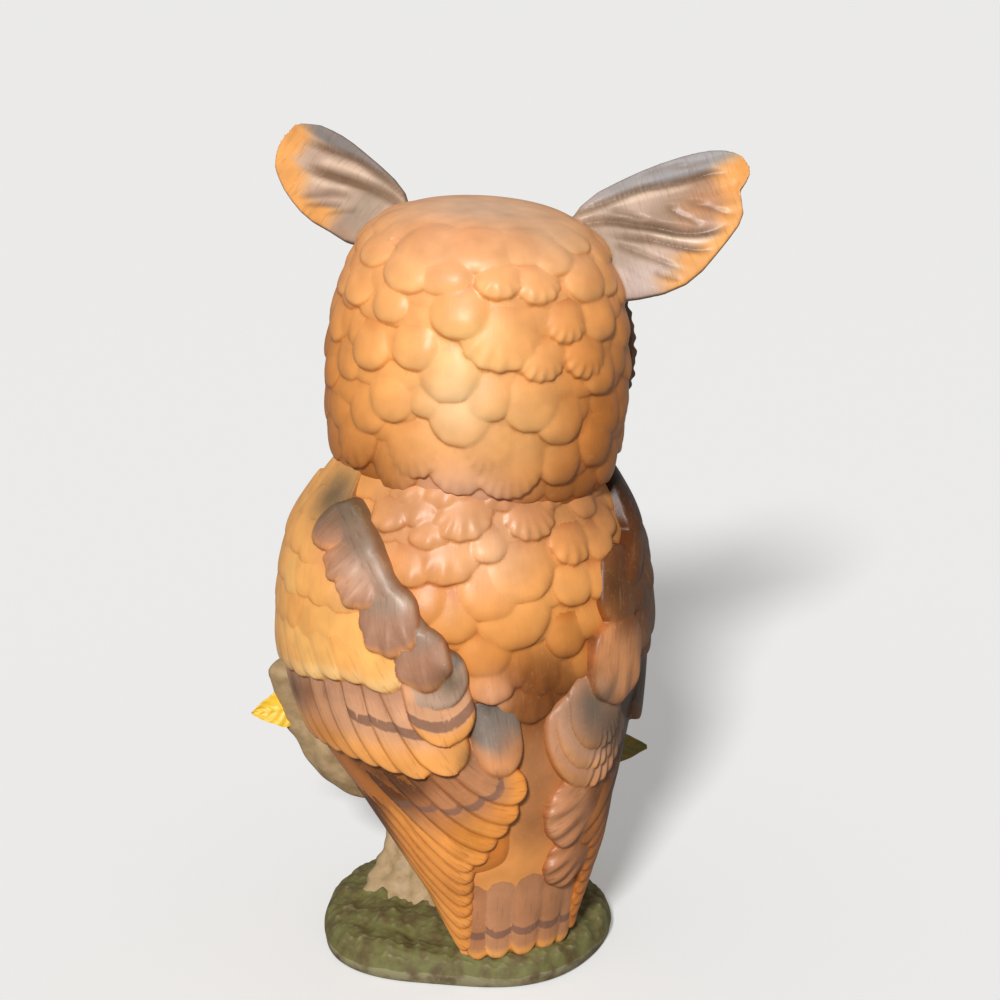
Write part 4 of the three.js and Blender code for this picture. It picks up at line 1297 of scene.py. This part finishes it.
def painted_bisque():
    n = Nodes("painted_bisque", 0.3, 0.16)
    paint = n.layer("paint")
    place = n.place()
    across, from_tip, bar = n.strokes()
    along = n.add(
        "ShaderNodeCombineXYZ", X=n.times(across, 2.6), Y=n.times(from_tip, 0.28), Z=n.noise(1.6, place)
    )
    hairs = n.noise(1.0, along[0], 3.0)
    streak = n.times(n.plus(hairs, -0.5), paint["Alpha"])
    colour = n.mix(n.levels(streak, 0.03, 0.22, 0, 0.55), paint["Color"], tone((96, 58, 34)))
    colour = n.mix(n.levels(streak, -0.04, -0.2, 0, 0.12), colour, tone((255, 214, 158)))
    edge = n.plus(bar, n.times(n.plus(n.noise(0.9, place), -0.5), 0.45))
    colour = n.mix(n.levels(edge, -0.1, 0.2, 0, 0.78), colour, tone(MAUVE))
    patch = n.levels(n.noise(5.0, place), 0.3, 0.7, 0.86, 1.1)
    patch = n.add("ShaderNodeCombineColor", Red=patch, Green=patch, Blue=patch)[0]
    colour = n.mix(1.0, colour, patch, "MULTIPLY")
    dust = n.levels(n.noise(0.7, place, 4.0), 0.58, 0.8, 0, 0.12)
    colour = n.mix(dust, colour, tone((238, 196, 160)))
    roughness = n.levels(n.noise(2.2, place, 3.0), 0.25, 0.75, 0.36, 0.5)
    relief = n.plus(n.times(n.noise(0.22, place), 0.25), n.times(n.times(hairs, paint["Alpha"]), 1.6))
    return n.finished(colour, roughness, relief, 0.12 * MM, 0.55)


def simple(name, roughness, freckle, size, share, bump):
    """Paint with darker or lighter cloudy freckles of one size and a bump to match."""
    n = Nodes(name, 0.5)
    place = n.place()
    cloud = n.noise(size, place, 5.0)
    colour = n.mix(n.levels(cloud, 0.42, 0.68, 0, share), n.layer("paint")["Color"], tone(freckle))
    rough = n.levels(n.noise(size * 0.6, place), 0.2, 0.8, roughness - 0.08, roughness + 0.1)
    return n.finished(colour, rough, cloud, bump * MM)


def eye_glaze():
    n = Nodes("eye_glaze", 0.6)
    around, out, _ = n.strokes()
    along = n.add("ShaderNodeCombineXYZ", X=n.times(around, 2.0), Y=n.times(out, 0.4))
    rays = n.noise(0.5, along[0])
    iris = n.mix(n.levels(rays, 0.35, 0.65), tone((204, 112, 12)), tone((255, 196, 52)))
    iris = n.mix(n.levels(out, 3.4, 4.6, 0, 0.9), iris, tone((70, 34, 10)))
    colour = n.mix(n.levels(out, 2.15, 2.35), tone((10, 8, 8)), iris)
    return n.finished(colour, n.levels(n.noise(600, n.place()), 0, 1, 0.06, 0.12))


bisque = painted_bisque()
eyes = build_face()
claws = build_legs()
dress(head_clay, bisque, 0.26)
dress(body_clay, bisque, 0.28)
dress(wing_clay, bisque, 0.25)
dress(perch_clay, simple("bark_paint", 0.62, (120, 98, 66), 1.4, 0.4, 0.2), 0.35, most=90_000)
dress(build_base(), simple("moss_paint", 0.7, (86, 62, 38), 2.4, 0.8, 0.2), stain_and_painted_light=0.6)
dress(build_leaves(), simple("leaf_paint", 0.4, (188, 140, 50), 2.6, 0.4, 0.06), stain_and_painted_light=0.5)
dress(claws, simple("horn_paint", 0.28, (120, 100, 82), 1.5, 0.5, 0.03), stain_and_painted_light=0)
dress(eyes, eye_glaze(), stain_and_painted_light=0)

# Studio: the photograph's camera, a pale floor and soft light from over the camera's left

AZIMUTH, ELEVATION = 156.0, 18.0
DISTANCE, TARGET_HEIGHT = 0.430, 0.075
PIXEL = 0.000160
PHOTO_WIDTH = 1000
OWL_LEFT_OF_MIDDLE = 35
SENSOR = 36
KEY_SIDEWAYS, KEY_UPWARD = -0.20, 0.34
FLOOR_HALF = 4

scene = bpy.context.scene
a, e = math.radians(AZIMUTH), math.radians(ELEVATION)
outward = Vector((math.sin(a) * math.cos(e), -math.cos(a) * math.cos(e), math.sin(e)))
rightward = Vector((math.cos(a), math.sin(a), 0))
target = Vector((0, 0, TARGET_HEIGHT))
camera_data = bpy.data.cameras.new("camera")
camera_data.sensor_width = SENSOR
camera_data.lens = SENSOR * (DISTANCE / PIXEL) / PHOTO_WIDTH
camera = placed("camera", camera_data)
camera.location = target + outward * DISTANCE
aim = target + rightward * OWL_LEFT_OF_MIDDLE * PIXEL
camera.rotation_euler = (aim - camera.location).to_track_quat("-Z", "Y").to_euler()
scene.camera = camera

scene.world = bpy.data.worlds.new("studio")
scene.world.use_nodes = True
set_inputs(scene.world.node_tree.nodes["Background"], Color=(1, 0.97, 0.92, 1), Strength=0.26)

key = bpy.data.lights.new("key", "SUN")
key.energy = 3.1
key.angle = math.radians(9)
key.color = (1.0, 0.985, 0.955)
lamp = placed("key", key)
source = outward + rightward * KEY_SIDEWAYS + Vector((0, 0, KEY_UPWARD))
lamp.rotation_euler = source.to_track_quat("Z", "Y").to_euler()

floor_mesh = bpy.data.meshes.new("floor")
around = [(x * FLOOR_HALF, y * FLOOR_HALF, 0) for x, y in ((-1, -1), (1, -1), (1, 1), (-1, 1))]
floor_mesh.from_pydata(around, [], [(0, 1, 2, 3)])
floor = placed("floor", floor_mesh)
pale = bpy.data.materials.new("floor")
pale.use_nodes = True
set_inputs(
    pale.node_tree.nodes["Principled BSDF"], Base_Color=(0.79, 0.8, 0.815, 1), Roughness=0.9,
    Emission_Color=(1, 1, 1, 1), Emission_Strength=0.2,
)
floor_mesh.materials.append(pale)
floor.visible_diffuse = False
floor.visible_glossy = False
scene.view_settings.view_transform = "Standard"
